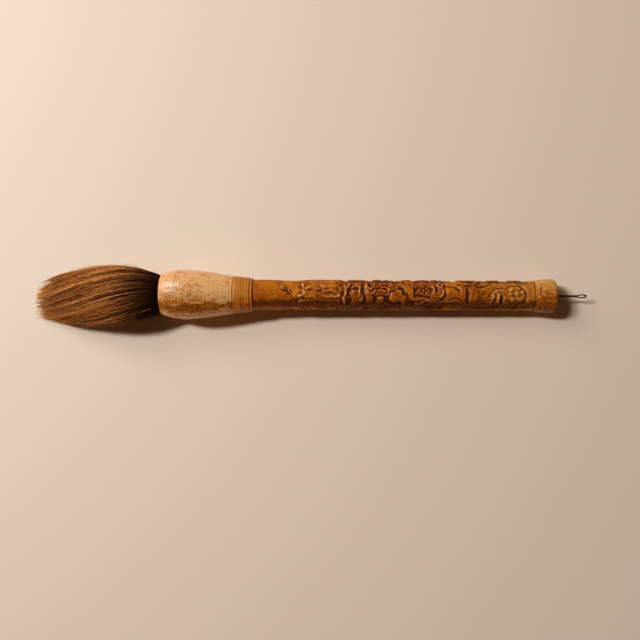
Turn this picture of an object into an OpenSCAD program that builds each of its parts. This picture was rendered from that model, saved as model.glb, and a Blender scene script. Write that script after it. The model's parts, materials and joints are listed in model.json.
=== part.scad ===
// Calligraphy brush with a carved bone handle, lying on a table.
// Lengths are in millimetres. Stations run along the brush's own axis from
// the ferrule's mouth: negative through the hair, positive towards the loop.

/* [Hair] */
// Length of hair in front of the ferrule
hair_len = 67; // [56:0.1:70]
// Hair radius where it leaves the ferrule
root_r = 10.4; // [9.8:0.1:10.4]
// Largest hair radius
belly_r = 15.5; // [14.8:0.1:16]
// Distance from the ferrule to the largest hair radius
belly_at = 22; // [18:0.5:26]
// Distance from the ferrule to the hair's bending axis
pivot_out = 14; // [13:0.5:16]

/* [Ferrule] */
// Length of the turned bowl
bowl_len = 37.2; // [34:0.1:42]
// Radius of the bowl at its mouth
mouth_r = 10.4; // [10.4:0.1:11]
// Largest radius of the bowl
crown_r = 12.8; // [12.4:0.1:13.2]
// Radius of the bowl at its rear groove
bowl_rear_r = 9.8; // [9.6:0.1:10]
// Length of the collar between the bowl and the handle
collar_len = 10.6; // [10:0.1:12]

/* [Handle] */
// Length of the carved tube
tube_len = 145.3; // [120:0.1:170]
// Radius over the carving
tube_r = 8.1; // [7.8:0.1:8.1]
// Radius of the marrow bore, and of the dowels in it
bore_r = 4; // [3.5:0.1:4.5]
// Length of the end band
band_len = 10.8; // [10:0.1:13]
// Radius of the end band
band_r = 8.85; // [8.6:0.05:9.2]

/* [Hanging loop] */
// Straight wire between the end band and the eye
shank_len = 12; // [8:0.5:16]
// Wire radius
wire_r = 0.33; // [0.3:0.01:0.35]
// Outside length of the eye
eye_len = 6.3; // [5:0.1:9]
// Outside width of the eye
eye_w = 2.2; // [2:0.1:3]

/* [Hidden] */
$fn = 96;

// Colours
bone = [0.87, 0.70, 0.50];
honey = [0.72, 0.45, 0.18];
ginger = [0.55, 0.34, 0.17];
root_brown = [0.28, 0.16, 0.08];
thread_red = [0.45, 0.12, 0.08];
rosin = [0.30, 0.14, 0.05];
beech = [0.76, 0.60, 0.40];
dark_wire = [0.16, 0.09, 0.07];

// Stations
collar_at = bowl_len;
tube_at = collar_at + collar_len;
band_at = tube_at + tube_len;
end_at = band_at + band_len;
eye_at = end_at + shank_len;
loop_end = eye_at + eye_len;

// Bowl: the crown is its fattest ring
crown_at = 13;
socket_r = 9.2;
socket_depth = 18;
groove_w = 0.5;
groove_depth = 0.18;
groove_over = 1;
bowl_grooves = [8.5, 9.9, 35.4];

// Collar: a low step, a slightly tapered land with two grooves, a bead and the tube's seat
collar_front_r = 9.2;
collar_step = [0.7, 1];
land_r = 9.7;
land_end_r = 8.9;
land_end = collar_len - 2.3;
seat_r = 8.2;
seat_from = collar_len - 2.1;
collar_grooves = [4.2, 5.4];
bead_at = collar_len - 1.2;
bead_r = 0.5;

// Hair root in the socket, tied with thread and set in rosin
root_depth = 16;
stub_out = 5.5;
neck_r = 8.2;
neck_from = 10.6;
thread_r = 0.4;
thread_turns = 6;

// Hair: the moving tuft has a round back, which turns in a cup in its root
cup_gap = 0.3;
core_share = 0.42;
mantle_share = 0.7;
core_stop = hair_len - 1;
mantle_stop = 0.78 * hair_len;
profile_steps = 14;
arc_steps = 6;

// Dowels and their depths
tenon_from = 22.5;
tenon_in_tube = 14;
dowel_in_tube = 10;
dowel_in_cap = 5;

// End band: a groove, a short flare, a straight stretch and a rounded rim
foot_r = 7.65;
foot_len = 0.3;
flare_at = 0.6;
flare_len = 4.9;
flare_r = 8.25;
rim_r = 0.6;

// Wire hole, and the chamber that holds the stop
wire_gap = 0.06;
chamber_r = 1.5;
chamber_len = 4;
stop_r = 1.1;
stop_len = 2.6;
stop_gap = 0.2;
wire_inside = dowel_in_cap + 2;

// The brush rests on the bowl's crown and on the end band's rim
rest_at = end_at - rim_r;
tilt = atan((crown_r - band_r) / (rest_at - crown_at));
axis_height = crown_at * sin(tilt) + crown_r * cos(tilt);
middle = (loop_end - hair_len) / 2;
room = 400;

function hair_r(d) = d < belly_at
    ? root_r + (belly_r - root_r) * pow(sin(90 * d / belly_at), 0.8)
    : belly_r * pow(1 - pow((d - belly_at) / (hair_len - belly_at), 2), 0.42);

function bowl_r(s) = s < crown_at
    ? crown_r - (crown_r - mouth_r) * pow(1 - s / crown_at, 2.4)
    : crown_r - (crown_r - bowl_rear_r) * pow((s - crown_at) / (bowl_len - crown_at), 1.35);

// Radii of the layers at the bending axis
ball_r = hair_r(pivot_out);
core_r = core_share * ball_r;
mantle_r = mantle_share * ball_r;

// Puts a piece that is modelled along +X from the ferrule's mouth on the table
module lying() {
    translate([-middle * cos(tilt), 0, axis_height])
        rotate([0, tilt, 0])
            children();
}

// Turns +Z into the brush's axis, starting at a station
module at_station(s) {
    translate([s, 0, 0])
        rotate([0, 90, 0])
            children();
}

module rod(from, to, r) {
    at_station(from)
        cylinder(h = to - from, r = r);
}

module turned(points) {
    rotate([0, 90, 0])
        rotate_extrude()
            polygon(points);
}

// A ring-shaped V groove cut into a turned surface
module v_groove(s, r) {
    turned([[r - groove_depth, s], [r + groove_over, s - groove_w], [r + groove_over, s + groove_w]]);
}

// Points along a hair layer's surface, at a share of the full radius and away from the ferrule
function along_hair(share, from, to) = [for (i = [0:profile_steps])
    let (d = from + (to - from) * sin(90 * i / profile_steps))
    [share * hair_r(min(d, hair_len - 0.05)), -d]];

// Points on the rounded back that sits in the root's cup, between two radii
function ball_arc(r_from, r_to) = [for (i = [0:arc_steps])
    let (a = asin(r_from / ball_r) + (asin(r_to / ball_r) - asin(r_from / ball_r)) * i / arc_steps)
    [ball_r * sin(a), ball_r * cos(a) - pivot_out]];

function backwards(points) = [for (i = [len(points) - 1:-1:0]) points[i]];

module core_hair() {
    color(root_brown)
        lying()
            turned(concat(
                ball_arc(0, core_r),
                along_hair(core_share, pivot_out, mantle_stop),
                along_hair(core_share, mantle_stop, core_stop),
                [[0, -core_stop]]
            ));
}

module belly_hair() {
    color(ginger * 0.8)
        lying()
            turned(concat(
                ball_arc(core_r, mantle_r),
                along_hair(mantle_share, pivot_out, mantle_stop),
                backwards(along_hair(core_share, pivot_out, mantle_stop))
            ));
}

// The outer layer lies flat where the tuft rests on the table
module cover_hair() {
    color(ginger)
        difference() {
            lying()
                turned(concat(
                    ball_arc(mantle_r, ball_r),
                    along_hair(1, pivot_out, hair_len),
                    [[0, -hair_len], [0, -core_stop]],
                    backwards(along_hair(core_share, mantle_stop, core_stop)),
                    backwards(along_hair(mantle_share, pivot_out, mantle_stop))
                ));
            translate([-room / 2, -room / 2, -room])
                cube([room, room, room]);
        }
}

module hair_root() {
    color(root_brown)
        lying()
            difference() {
                turned(concat(
                    [[0, -stub_out]],
                    backwards(along_hair(1, 0, stub_out)),
                    [[socket_r, 0], [socket_r, neck_from], [neck_r, neck_from]],
                    [[neck_r, root_depth], [0, root_depth]]
                ));
                translate([-pivot_out, 0, 0])
                    sphere(r = ball_r + cup_gap);
            }
}

module binding_thread() {
    color(thread_red)
        lying()
            for (i = [0:thread_turns - 1])
                at_station(neck_from + thread_r + 2 * thread_r * i)
                    rotate_extrude()
                        translate([neck_r + thread_r, 0])
                            circle(r = thread_r, $fn = 24);
}

module rosin_plug() {
    color(rosin)
        lying()
            rod(root_depth, socket_depth, socket_r);
}

module ferrule_bowl() {
    steps = 12;
    front = [for (i = [0:steps - 1]) crown_at * i / steps];
    rear = [for (i = [0:steps]) crown_at + (bowl_len - crown_at) * i / steps];
    outline = [for (s = concat(front, rear)) [bowl_r(s), s]];
    color(bone)
        lying()
            difference() {
                turned(concat([[0, 0]], outline, [[0, bowl_len]]));
                rod(-1, socket_depth, socket_r);
                rod(tenon_from, bowl_len + 1, bore_r);
                for (s = bowl_grooves)
                    v_groove(s, bowl_r(s));
            }
}

function land_r_at(s) = land_r - (land_r - land_end_r)
    * (s - collar_step[1]) / (land_end - collar_step[1]);

module collar_ring() {
    color(bone * 0.95)
        lying()
            difference() {
                union() {
                    turned([
                        [0, collar_at],
                        [collar_front_r, collar_at],
                        [collar_front_r, collar_at + collar_step[0]],
                        [land_r, collar_at + collar_step[1]],
                        [land_end_r, collar_at + land_end],
                        [seat_r, collar_at + seat_from],
                        [seat_r, tube_at],
                        [0, tube_at]
                    ]);
                    at_station(collar_at + bead_at)
                        rotate_extrude()
                            translate([seat_r, 0])
                                circle(r = bead_r, $fn = 24);
                }
                rod(collar_at - 1, tube_at + 1, bore_r);
                for (s = collar_grooves)
                    v_groove(collar_at + s, land_r_at(s));
            }
}

module joint_tenon() {
    color(beech)
        lying()
            rod(tenon_from, tube_at + tenon_in_tube, bore_r);
}

// The carving's outer envelope over the marrow bore
module carved_tube() {
    color(honey)
        lying()
            difference() {
                rod(tube_at, band_at, tube_r);
                rod(tube_at - 1, band_at + 1, bore_r);
            }
}

module end_dowel() {
    color(beech)
        lying()
            difference() {
                rod(band_at - dowel_in_tube, band_at + dowel_in_cap, bore_r);
                rod(band_at + dowel_in_cap - chamber_len, band_at + dowel_in_cap + 1, chamber_r);
            }
}

module end_cap() {
    rim_arc = [for (i = [0:6])
        [band_r - rim_r + rim_r * cos(15 * i), end_at - rim_r + rim_r * sin(15 * i)]];
    color(bone)
        lying()
            difference() {
                turned(concat(
                    [[0, band_at], [foot_r, band_at], [foot_r, band_at + foot_len]],
                    [[flare_r, band_at + flare_at], [band_r, band_at + flare_at + flare_len]],
                    rim_arc,
                    [[0, end_at]]
                ));
                rod(band_at - 1, band_at + dowel_in_cap, bore_r);
                rod(band_at, end_at + 1, wire_r + wire_gap);
            }
}

// A straight wire that ends in a long narrow eye
module hanging_wire() {
    bend_r = eye_w / 2 - wire_r;
    near_bend = eye_at + eye_w / 2;
    far_bend = loop_end - eye_w / 2;
    color(dark_wire)
        lying() {
            rod(end_at - wire_inside, eye_at + wire_r, wire_r);
            for (bend = [[near_bend, 90], [far_bend, -90]])
                translate([bend[0], 0, 0])
                    rotate([0, 0, bend[1]])
                        rotate_extrude(angle = 180)
                            translate([bend_r, 0])
                                circle(r = wire_r, $fn = 24);
            for (side = [-1, 1])
                translate([0, side * bend_r, 0])
                    rod(near_bend, far_bend, wire_r);
        }
}

module wire_stop() {
    stop_from = band_at + dowel_in_cap - stop_gap - stop_len;
    color(dark_wire)
        lying()
            difference() {
                rod(stop_from, stop_from + stop_len, stop_r);
                rod(stop_from - 1, stop_from + stop_len + 1, wire_r);
            }
}

core_hair();
belly_hair();
cover_hair();
hair_root();
binding_thread();
rosin_plug();
ferrule_bowl();
collar_ring();
joint_tenon();
carved_tube();
end_dowel();
end_cap();
hanging_wire();
wire_stop();
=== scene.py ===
"""A calligraphy brush lying on a pale floor: a hair tuft in a turned bone bowl, a carved
bone tube, an end band and a twisted wire loop."""

import json
import math

import bpy
import numpy as np
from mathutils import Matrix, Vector


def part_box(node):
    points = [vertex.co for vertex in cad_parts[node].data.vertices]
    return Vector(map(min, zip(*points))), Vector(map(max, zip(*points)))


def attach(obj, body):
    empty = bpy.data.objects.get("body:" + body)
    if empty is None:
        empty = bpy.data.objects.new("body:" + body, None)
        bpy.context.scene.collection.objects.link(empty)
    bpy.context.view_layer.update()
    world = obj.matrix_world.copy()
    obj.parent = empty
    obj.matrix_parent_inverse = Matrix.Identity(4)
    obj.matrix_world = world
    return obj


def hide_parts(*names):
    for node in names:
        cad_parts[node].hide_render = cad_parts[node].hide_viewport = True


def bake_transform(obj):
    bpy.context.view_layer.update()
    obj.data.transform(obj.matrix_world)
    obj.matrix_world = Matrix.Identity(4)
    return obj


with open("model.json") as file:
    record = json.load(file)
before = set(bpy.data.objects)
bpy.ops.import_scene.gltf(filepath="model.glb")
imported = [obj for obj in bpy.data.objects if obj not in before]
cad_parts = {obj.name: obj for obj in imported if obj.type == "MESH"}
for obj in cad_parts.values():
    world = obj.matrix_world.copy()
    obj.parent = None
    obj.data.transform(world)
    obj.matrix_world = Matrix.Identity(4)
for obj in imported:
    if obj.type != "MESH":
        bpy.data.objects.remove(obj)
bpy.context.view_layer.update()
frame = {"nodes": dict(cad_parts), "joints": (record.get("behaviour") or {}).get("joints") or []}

MM = 0.001
JOINTS = {joint["name"]: joint for joint in frame["joints"]}

# --- the brush's own axis, from the loop's swivel ------------------------------------

AXIS = np.array(JOINTS["loop_swivel"]["axis"], float)
AXIS /= np.linalg.norm(AXIS)
END_FACE = np.array(JOINTS["loop_swivel"]["pos_m"], float)
SIDE = np.array([0.0, 1.0, 0.0])
UP = np.cross(AXIS, SIDE)


def from_end_face(node):
    """A CAD node's points, in metres from the centre of the end face."""
    points = np.array([vertex.co for vertex in frame["nodes"][node].data.vertices])
    return points - END_FACE


def span(node):
    """First and last station of a CAD node along the axis, in mm from the end face."""
    along = from_end_face(node) @ AXIS / MM
    return along.min(), along.max()


def radius_of(node):
    """Largest distance of a CAD node from the axis, in mm."""
    offset = from_end_face(node)
    offset -= np.outer(offset @ AXIS, AXIS)
    return np.linalg.norm(offset, axis=1).max() / MM


# Stations are in mm from the ferrule's mouth: negative in the hair, positive to the loop.
MOUTH_AT = span("ferrule_bowl")[0]
MOUTH = END_FACE + AXIS * MM * MOUTH_AT
HAIR_LEN = MOUTH_AT - span("cover_hair")[0]
BOWL_LEN = span("ferrule_bowl")[1] - MOUTH_AT
TUBE_AT = span("carved_tube")[0] - MOUTH_AT
BAND_AT = span("carved_tube")[1] - MOUTH_AT
END_AT = -MOUTH_AT
LOOP_END = span("hanging_wire")[1] - MOUTH_AT
WIRE_FROM = span("hanging_wire")[0] - MOUTH_AT
TUBE_R = radius_of("carved_tube")
BAND_R = radius_of("end_cap")
CROWN_R = radius_of("ferrule_bowl")
BORE_R = radius_of("joint_tenon")
SOCKET_R = radius_of("rosin_plug")
ROOT_FROM, ROOT_TO = (s - MOUTH_AT for s in span("rosin_plug"))


def place(points):
    """Brush coordinates (station, side, up) in mm to the row frame in metres."""
    p = np.asarray(points, float) * MM
    return MOUTH + p[..., 0:1] * AXIS + p[..., 1:2] * SIDE + p[..., 2:3] * UP


def smooth(t):
    """An eased step from 0 to 1 as t goes from 0 to 1."""
    t = np.clip(t, 0.0, 1.0)
    return t * t * (3 - 2 * t)


# --- meshes --------------------------------------------------------------------------


def mesh_piece(name, points, faces, material, marks=None):
    """A smooth mesh of brush-coordinate points, with named numbers on its points."""
    mesh = bpy.data.meshes.new(name)
    mesh.from_pydata(place(np.reshape(points, (-1, 3))).tolist(), [], faces)
    mesh.validate()
    mesh.polygons.foreach_set("use_smooth", [True] * len(mesh.polygons))
    for mark, values in (marks or {}).items():
        layer = mesh.attributes.new(mark, "FLOAT", "POINT")
        layer.data.foreach_set("value", np.asarray(values, np.float32).ravel())
    piece = bpy.data.objects.new(name, mesh)
    bpy.context.scene.collection.objects.link(piece)
    mesh.materials.append(material)
    return piece


def stand_for(piece, body, node):
    """The piece rides on the body and replaces the CAD node."""
    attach(piece, body)
    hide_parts(node)


def grid_faces(rows, cols, wrap_rows=False):
    """Quads over a grid of points whose columns wrap round; outward for rows along +s."""
    last = rows if wrap_rows else rows - 1
    r = np.repeat(np.arange(last), cols)
    c = np.tile(np.arange(cols), last)
    here, after = r * cols, ((r + 1) % rows) * cols
    turn = (c + 1) % cols
    return np.stack([here + c, here + turn, after + turn, after + c], 1).tolist()


def fan(ring_first, cols, pole, flip):
    """Triangles that close a ring of points onto a pole."""
    faces = [[ring_first + c, ring_first + (c + 1) % cols, pole] for c in range(cols)]
    return [face[::-1] for face in faces] if flip else faces


def end_fans(rings, cols):
    """Both ends of a tube of rings closed; its two poles come after the rings' points."""
    points = rings * cols
    return fan(0, cols, points, True) + fan(points - cols, cols, points + 1, False)


def sharpen(piece, degrees):
    """Keeps the edges between flat faces crisp under smooth shading."""
    piece.data.set_sharp_from_angle(angle=math.radians(degrees))


def finely(profile, step):
    """The same outline, with no stretch longer than step."""
    out = [profile[0]]
    for a, b in zip(profile[:-1], profile[1:]):
        count = max(1, int(math.ceil(math.dist(a, b) / step)))
        out += [(a[0] + (b[0] - a[0]) * k / count, a[1] + (b[1] - a[1]) * k / count)
                for k in range(1, count + 1)]
    return out


def ring_points(stations, radii, sides, uneven=0.0, seed=0):
    """Rings of points round the axis; uneven is how far the turning is from true, in mm."""
    angle = np.arange(sides) * 2 * math.pi / sides
    random = np.random.default_rng(seed)
    phases = random.uniform(0, 2 * math.pi, 4)
    s = np.asarray(stations, float)[:, None]
    r = np.asarray(radii, float)[:, None] + np.zeros(sides)
    for k, phase in enumerate(phases):
        r = r + uneven / (k + 1) * np.sin((k + 2) * angle + phase + s * 0.11 * (k + 1))
    return np.stack([s + 0 * r, r * np.cos(angle), r * np.sin(angle)], 2)


def half_turn(degrees):
    """The same angle, from -180 to 180."""
    return (degrees + 180.0) % 360.0 - 180.0


# Where painted shade runs along the brush: the angle of its middle, and how wide it is.
SIDE_SHADE = (-36.0, 21.0)
CARVED_SHADE = (-47.0, 30.0)
END_SHADE = (-58.0, 72.0)


def painted_shade_at(turn, centre, width):
    """How much painted shade the bone gets at an angle from the top, in degrees towards +side:
    round the centre given, and again underneath."""
    under = half_turn(turn - 150.0)
    return np.exp(-(half_turn(turn - centre) / width) ** 2) + 0.75 * np.exp(-(under / 26.0) ** 2)


def pores_at(station, turn):
    """Where the open pores of the bone show: near the nose, and in a band behind it."""
    nose = np.exp(-((station - 4.6) / 3.6) ** 2 - ((turn + 8.0) / 26.0) ** 2)
    behind = np.exp(-((station - 15.5) / 6.0) ** 2 - ((turn + 2.0) / 24.0) ** 2)
    under = np.exp(-((station - 12.0) / 8.0) ** 2 - ((np.abs(turn) - 140.0) / 30.0) ** 2)
    return nose + 0.8 * behind + 0.7 * under


DIRTY_GROOVE = 0.10


def lathe(name, outline, sides, material, grooves=(), uneven=0.0, seed=0, closed_loop=False,
          stain_and_shade=SIDE_SHADE):
    """A turned solid. Its outline is (station, radius), from axis to axis or in a loop.
    grooves are (station, half width, depth) cuts in whatever is further out than the bore;
    one of DIRTY_GROOVE mm or more is full of dirt."""
    rim = outline if closed_loop else outline[1:-1]
    stations = np.array([p[0] for p in rim])
    radii = np.array([p[1] for p in rim])
    dark = np.zeros(len(rim))
    outer = radii > SOCKET_R * 0.62 if not closed_loop else radii > BORE_R + 0.5
    for at, half, depth in grooves:
        cut = np.exp(-((stations - at) / half) ** 2) * outer
        radii = radii - depth * cut
        dark = np.maximum(dark, cut * min(1.0, depth / DIRTY_GROOVE))
    rings = ring_points(stations, radii, sides, uneven, seed)
    points = rings.reshape(-1, 3)
    count = len(rim)
    faces = grid_faces(count, sides, wrap_rows=closed_loop)
    groove = np.repeat(dark, sides)
    if not closed_loop:
        poles = [[outline[0][0], 0, 0], [outline[-1][0], 0, 0]]
        points = np.vstack([points, poles])
        faces += end_fans(count, sides)
        groove = np.append(groove, [0, 0])
    turn = np.degrees(np.arctan2(points[:, 1], points[:, 2]))
    station = points[:, 0]
    # the painted shade is strongest at the ferrule's nose and pales towards the tube
    paler = 0.34 * smooth((station - 20.0) / 12.0) * (station < TUBE_AT + 1.0)
    # the shade mark is painted shade: darker on the side turned from the light, and underneath
    marks = {"groove": groove, "shade": painted_shade_at(turn, *stain_and_shade) * (1 - paler),
             "pores": pores_at(station, turn)}
    piece = mesh_piece(name, points, faces, material, marks)
    sharpen(piece, 32)
    return piece


# --- materials -----------------------------------------------------------------------


class Nodes:
    """A short way to write a material's nodes."""

    def __init__(self, name, roughness, specular, coat=0.0, coat_roughness=0.2, metallic=0.0):
        self.material = bpy.data.materials.new(name)
        self.material.use_nodes = True
        self.tree = self.material.node_tree
        self.shader = self.tree.nodes["Principled BSDF"]
        self.set(self.shader, {"Roughness": roughness, "Specular IOR Level": specular,
                               "Coat Weight": coat, "Coat Roughness": coat_roughness,
                               "Metallic": metallic})
        self.place = self.new("ShaderNodeTexCoord").outputs["Object"]

    def new(self, kind, **settings):
        node = self.tree.nodes.new(kind)
        for key, value in settings.items():
            setattr(node, key, value)
        return node

    @staticmethod
    def set(node, values):
        """Fixed values on a node's inputs."""
        for key, value in values.items():
            node.inputs[key].default_value = value

    def link(self, source, socket):
        """Feeds a socket from another node, or with a plain value."""
        if isinstance(source, bpy.types.NodeSocket):
            self.tree.links.new(source, socket)
        else:
            socket.default_value = source

    def stretched(self, scale, turn=(0, 0, 0)):
        """The piece's own coordinates, scaled along each axis."""
        node = self.new("ShaderNodeMapping")
        self.link(self.place, node.inputs["Vector"])
        self.set(node, {"Scale": scale, "Rotation": turn})
        return node.outputs["Vector"]

    def noise(self, scale, detail, roughness, where=None, distortion=0.0):
        node = self.new("ShaderNodeTexNoise")
        self.link(where or self.place, node.inputs["Vector"])
        self.set(node, {"Scale": scale, "Detail": detail, "Roughness": roughness,
                        "Distortion": distortion})
        return node.outputs["Fac"]

    def cells(self, scale, where):
        """Distance to the nearest of many scattered points."""
        node = self.new("ShaderNodeTexVoronoi")
        self.link(where, node.inputs["Vector"])
        node.inputs["Scale"].default_value = scale
        return node.outputs["Distance"]

    def mark(self, name):
        """A number that the mesh carries on its points."""
        return self.new("ShaderNodeAttribute", attribute_name=name).outputs["Fac"]

    def math(self, operation, a, b):
        node = self.new("ShaderNodeMath", operation=operation)
        self.link(a, node.inputs[0])
        self.link(b, node.inputs[1])
        return node.outputs[0]

    def between(self, value, low, high, out_low=0.0, out_high=1.0):
        """An eased step from out_low to out_high as value goes from low to high."""
        node = self.new("ShaderNodeMapRange", interpolation_type="SMOOTHSTEP")
        self.link(value, node.inputs["Value"])
        self.set(node, {"From Min": low, "From Max": high, "To Min": out_low,
                        "To Max": out_high})
        return node.outputs["Result"]

    def mix(self, share, a, b):
        """The colour a share of the way from a to b."""
        node = self.new("ShaderNodeMix", data_type="RGBA")
        self.link(share, node.inputs[0])
        for socket, colour in ((node.inputs[6], a), (node.inputs[7], b)):
            self.link((*colour, 1.0) if isinstance(colour, tuple) else colour, socket)
        return node.outputs[2]

    def ramp(self, value, stops):
        """A colour by value, from (place, colour) stops."""
        node = self.new("ShaderNodeValToRGB")
        self.link(value, node.inputs["Fac"])
        elements = node.color_ramp.elements
        while len(elements) < len(stops):
            elements.new(0.5)
        for element, (at, colour) in zip(elements, stops):
            element.position = at
            element.color = (*colour, 1.0)
        return node.outputs["Color"]

    def bump(self, height, strength, depth_mm):
        node = self.new("ShaderNodeBump")
        self.link(height, node.inputs["Height"])
        self.set(node, {"Strength": strength, "Distance": depth_mm * MM})
        self.link(node.outputs["Normal"], self.shader.inputs["Normal"])

    def finish(self, colour, roughness=None):
        self.link(colour, self.shader.inputs["Base Color"])
        if roughness is not None:
            self.link(roughness, self.shader.inputs["Roughness"])
        return self.material


def bone(name, pale, honey, deep, stain_and_shade, pores, shine, coat, lines=0.0, seed=0.0):
    """Old bone: long streaks of grain, honey stains, dark pores, dirt in the cuts, and painted
    shade, honey to deep brown, where the shade mark lies.
    lines is how plainly fine turning marks show."""
    n = Nodes(name, shine, 0.30, coat, coat_roughness=0.27)
    along = n.stretched((1.0, 5.0, 5.0), (0, 0, seed))
    clouds = n.noise(70, 5, 0.6, n.stretched((1, 1, 1), (seed, 0, seed)))
    streaks = n.noise(150, 6, 0.65, along)
    share = n.math("MULTIPLY", n.between(clouds, 0.38, 0.70), stain_and_shade)
    colour = n.mix(share, pale, honey)
    smudge = n.noise(330, 5, 0.65, n.stretched((1.0, 1.8, 1.8), (seed, 0, 0)))
    # the shade mark also deepens the honey smudges a little: painted shade
    smudged = n.math("ADD", smudge, n.math("MULTIPLY", n.mark("shade"), 0.10))
    colour = n.mix(n.between(smudged, 0.50, 0.72, 0.0, 0.62), colour, honey)
    colour = n.mix(n.between(streaks, 0.5, 0.78, 0.0, 0.4), colour, honey)
    fine = n.noise(900, 3, 0.6, along)
    colour = n.mix(n.between(fine, 0.58, 0.82, 0.0, 0.3), colour, deep)
    # painted shade: honey, then deep brown, on the side turned from the light and underneath
    side = n.math("ADD", n.mark("shade"), n.between(smudge, 0.3, 0.7, -0.46, 0.38))
    colour = n.mix(n.between(side, 0.10, 0.70, 0.0, 0.95), colour, honey)
    colour = n.mix(n.between(side, 0.45, 1.20, 0.0, 0.66), colour, deep)
    ragged = n.math("ADD", n.cells(1050, n.stretched((1.0, 1.3, 1.3))),
                    n.between(n.noise(2600, 3, 0.6), 0.3, 0.7, -0.12, 0.12))
    patch = n.math("ADD", n.mark("pores"), n.between(n.noise(420, 4, 0.65), 0.35, 0.7, -0.4, 0.45))
    colour = n.mix(n.between(patch, 0.15, 0.95, 0.0, 0.38 * pores), colour, honey)
    pore = n.math("MULTIPLY", n.between(ragged, 0.48, 0.25), n.between(patch, 0.08, 0.56))
    pore = n.math("MULTIPLY", pore, pores)
    pore_colour = tuple(0.38 * h + 0.3 * d for h, d in zip(honey, deep))
    colour = n.mix(n.math("MULTIPLY", pore, 0.92), colour, pore_colour)
    colour = n.mix(n.between(n.mark("groove"), 0.10, 1.0, 0.0, 0.65), colour, deep)
    relief = n.math("SUBTRACT", n.math("MULTIPLY", streaks, 0.5), n.math("MULTIPLY", pore, 0.6))
    if lines:
        rings = n.noise(1.0, 2, 0.5, n.stretched((2600.0, 8.0, 8.0)))
        colour = n.mix(n.between(rings, 0.5, 0.7, 0.0, lines), colour, deep)
        relief = n.math("ADD", relief, n.math("MULTIPLY", rings, lines * 2.0))
    n.bump(relief, 0.35, 0.25)
    rough = n.between(clouds, 0.3, 0.7, shine - 0.06, shine + 0.15)
    return n.finish(colour, rough)


def carved_bone():
    """Honey bone under a worn polish: dark red-brown in the cuts from dirt and painted shade,
    lighter on the worn edges with painted highlight, and painted shade low on the sides.
    """
    honey, amber, umber = (0.56, 0.205, 0.014), (0.37, 0.108, 0.007), (0.22, 0.054, 0.004)
    spots, cut_tone, pale_end = (0.14, 0.031, 0.003), (0.20, 0.044, 0.003), (0.60, 0.28, 0.055)
    worn, shade_and_edge_brown, dirt_and_shade_brown = (0.88, 0.46, 0.145), (0.12, 0.030, 0.004), (0.064, 0.0155, 0.002)
    n = Nodes("honey_bone", 0.42, 0.15, coat=0.10, coat_roughness=0.25)
    along = n.stretched((1.0, 4.0, 4.0))
    clouds = n.noise(130, 5, 0.6)
    streaks = n.noise(300, 6, 0.65, along)
    mottle = n.noise(620, 5, 0.65, n.stretched((1.0, 1.6, 1.6)))
    top = n.mix(n.between(clouds, 0.35, 0.65), honey, amber)
    top = n.mix(n.between(streaks, 0.48, 0.72, 0.0, 0.6), top, umber)
    carved = n.mark("carved")
    spotted = n.between(carved, 0.0, 1.0, 0.32, 0.65)
    dark_spots = n.math("MULTIPLY", n.between(mottle, 0.46, 0.66), spotted)
    top = n.mix(dark_spots, top, spots)
    top = n.mix(n.math("MULTIPLY", carved, 0.40), top, cut_tone)
    top = n.mix(n.between(n.mark("shade"), 0.0, 1.0, 0.0, 0.45), top, pale_end)
    # pale crests: wear, and painted highlight on the raised forms
    wear_and_highlight = n.math("MULTIPLY", n.mark("wear_and_highlight"), n.between(mottle, 0.3, 0.6, 0.35, 1.0))
    colour = n.mix(n.between(wear_and_highlight, 0.15, 1.0, 0.0, 0.72), top, worn)
    # painted shade low on the side turned from the light, and a darker band near the far edge
    stain_and_shade = n.math("ADD", n.mark("stain_and_shade"), n.between(mottle, 0.3, 0.7, -0.32, 0.15))
    colour = n.mix(n.between(stain_and_shade, 0.08, 0.85, 0.0, 0.86), colour, shade_and_edge_brown)
    # dark in the hollows: dirt, and painted shade like ambient occlusion over wider recesses
    dirt_and_shade = n.math("ADD", n.mark("dirt_and_shade"), n.between(mottle, 0.3, 0.7, -0.14, 0.14))
    colour = n.mix(n.between(dirt_and_shade, 0.04, 0.80, 0.0, 0.92), colour, dirt_and_shade_brown)
    scratches = n.noise(1400, 3, 0.6, along)
    height = n.math("ADD", n.math("MULTIPLY", mottle, 0.7), n.math("MULTIPLY", scratches, 0.3))
    n.bump(height, 0.45, 0.22)
    rough = n.between(clouds, 0.3, 0.7, 0.34, 0.52)
    return n.finish(colour, rough)


def hair_material(name, root, middle, light):
    """Animal hair: dark at the root, each hair and each lock a little different."""
    n = Nodes(name, 0.5, 0.12)
    tone, along = n.mark("tone"), n.mark("along")
    colour = n.ramp(tone, [(0.0, root), (0.45, middle), (1.0, light)])
    colour = n.mix(n.between(along, 0.04, 0.38, 0.90, 0.0), colour, root)
    colour = n.mix(n.between(along, 0.78, 1.0, 0.0, 0.5), colour, light)
    flecks = n.noise(500, 3, 0.6, n.stretched((0.5, 4.0, 4.0)))
    colour = n.mix(n.between(flecks, 0.4, 0.7, 0.0, 0.35), colour, root)
    n.bump(flecks, 0.3, 0.05)
    return n.finish(colour)


def wood_material():
    """A straight-grained dowel."""
    n = Nodes("dowel_wood", 0.6, 0.3)
    grain = n.noise(240, 6, 0.7, n.stretched((0.6, 6.0, 6.0)), 1.5)
    colour = n.mix(n.between(grain, 0.35, 0.7), (0.48, 0.29, 0.13), (0.27, 0.13, 0.05))
    n.bump(grain, 0.4, 0.15)
    return n.finish(colour)


def rosin_material():
    """Dark, glossy, lumpy rosin."""
    n = Nodes("rosin", 0.15, 0.6, coat=0.3)
    blobs = n.noise(260, 4, 0.6)
    colour = n.mix(n.between(blobs, 0.3, 0.7), (0.10, 0.030, 0.008), (0.26, 0.10, 0.02))
    n.bump(blobs, 0.5, 0.3)
    return n.finish(colour)


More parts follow.
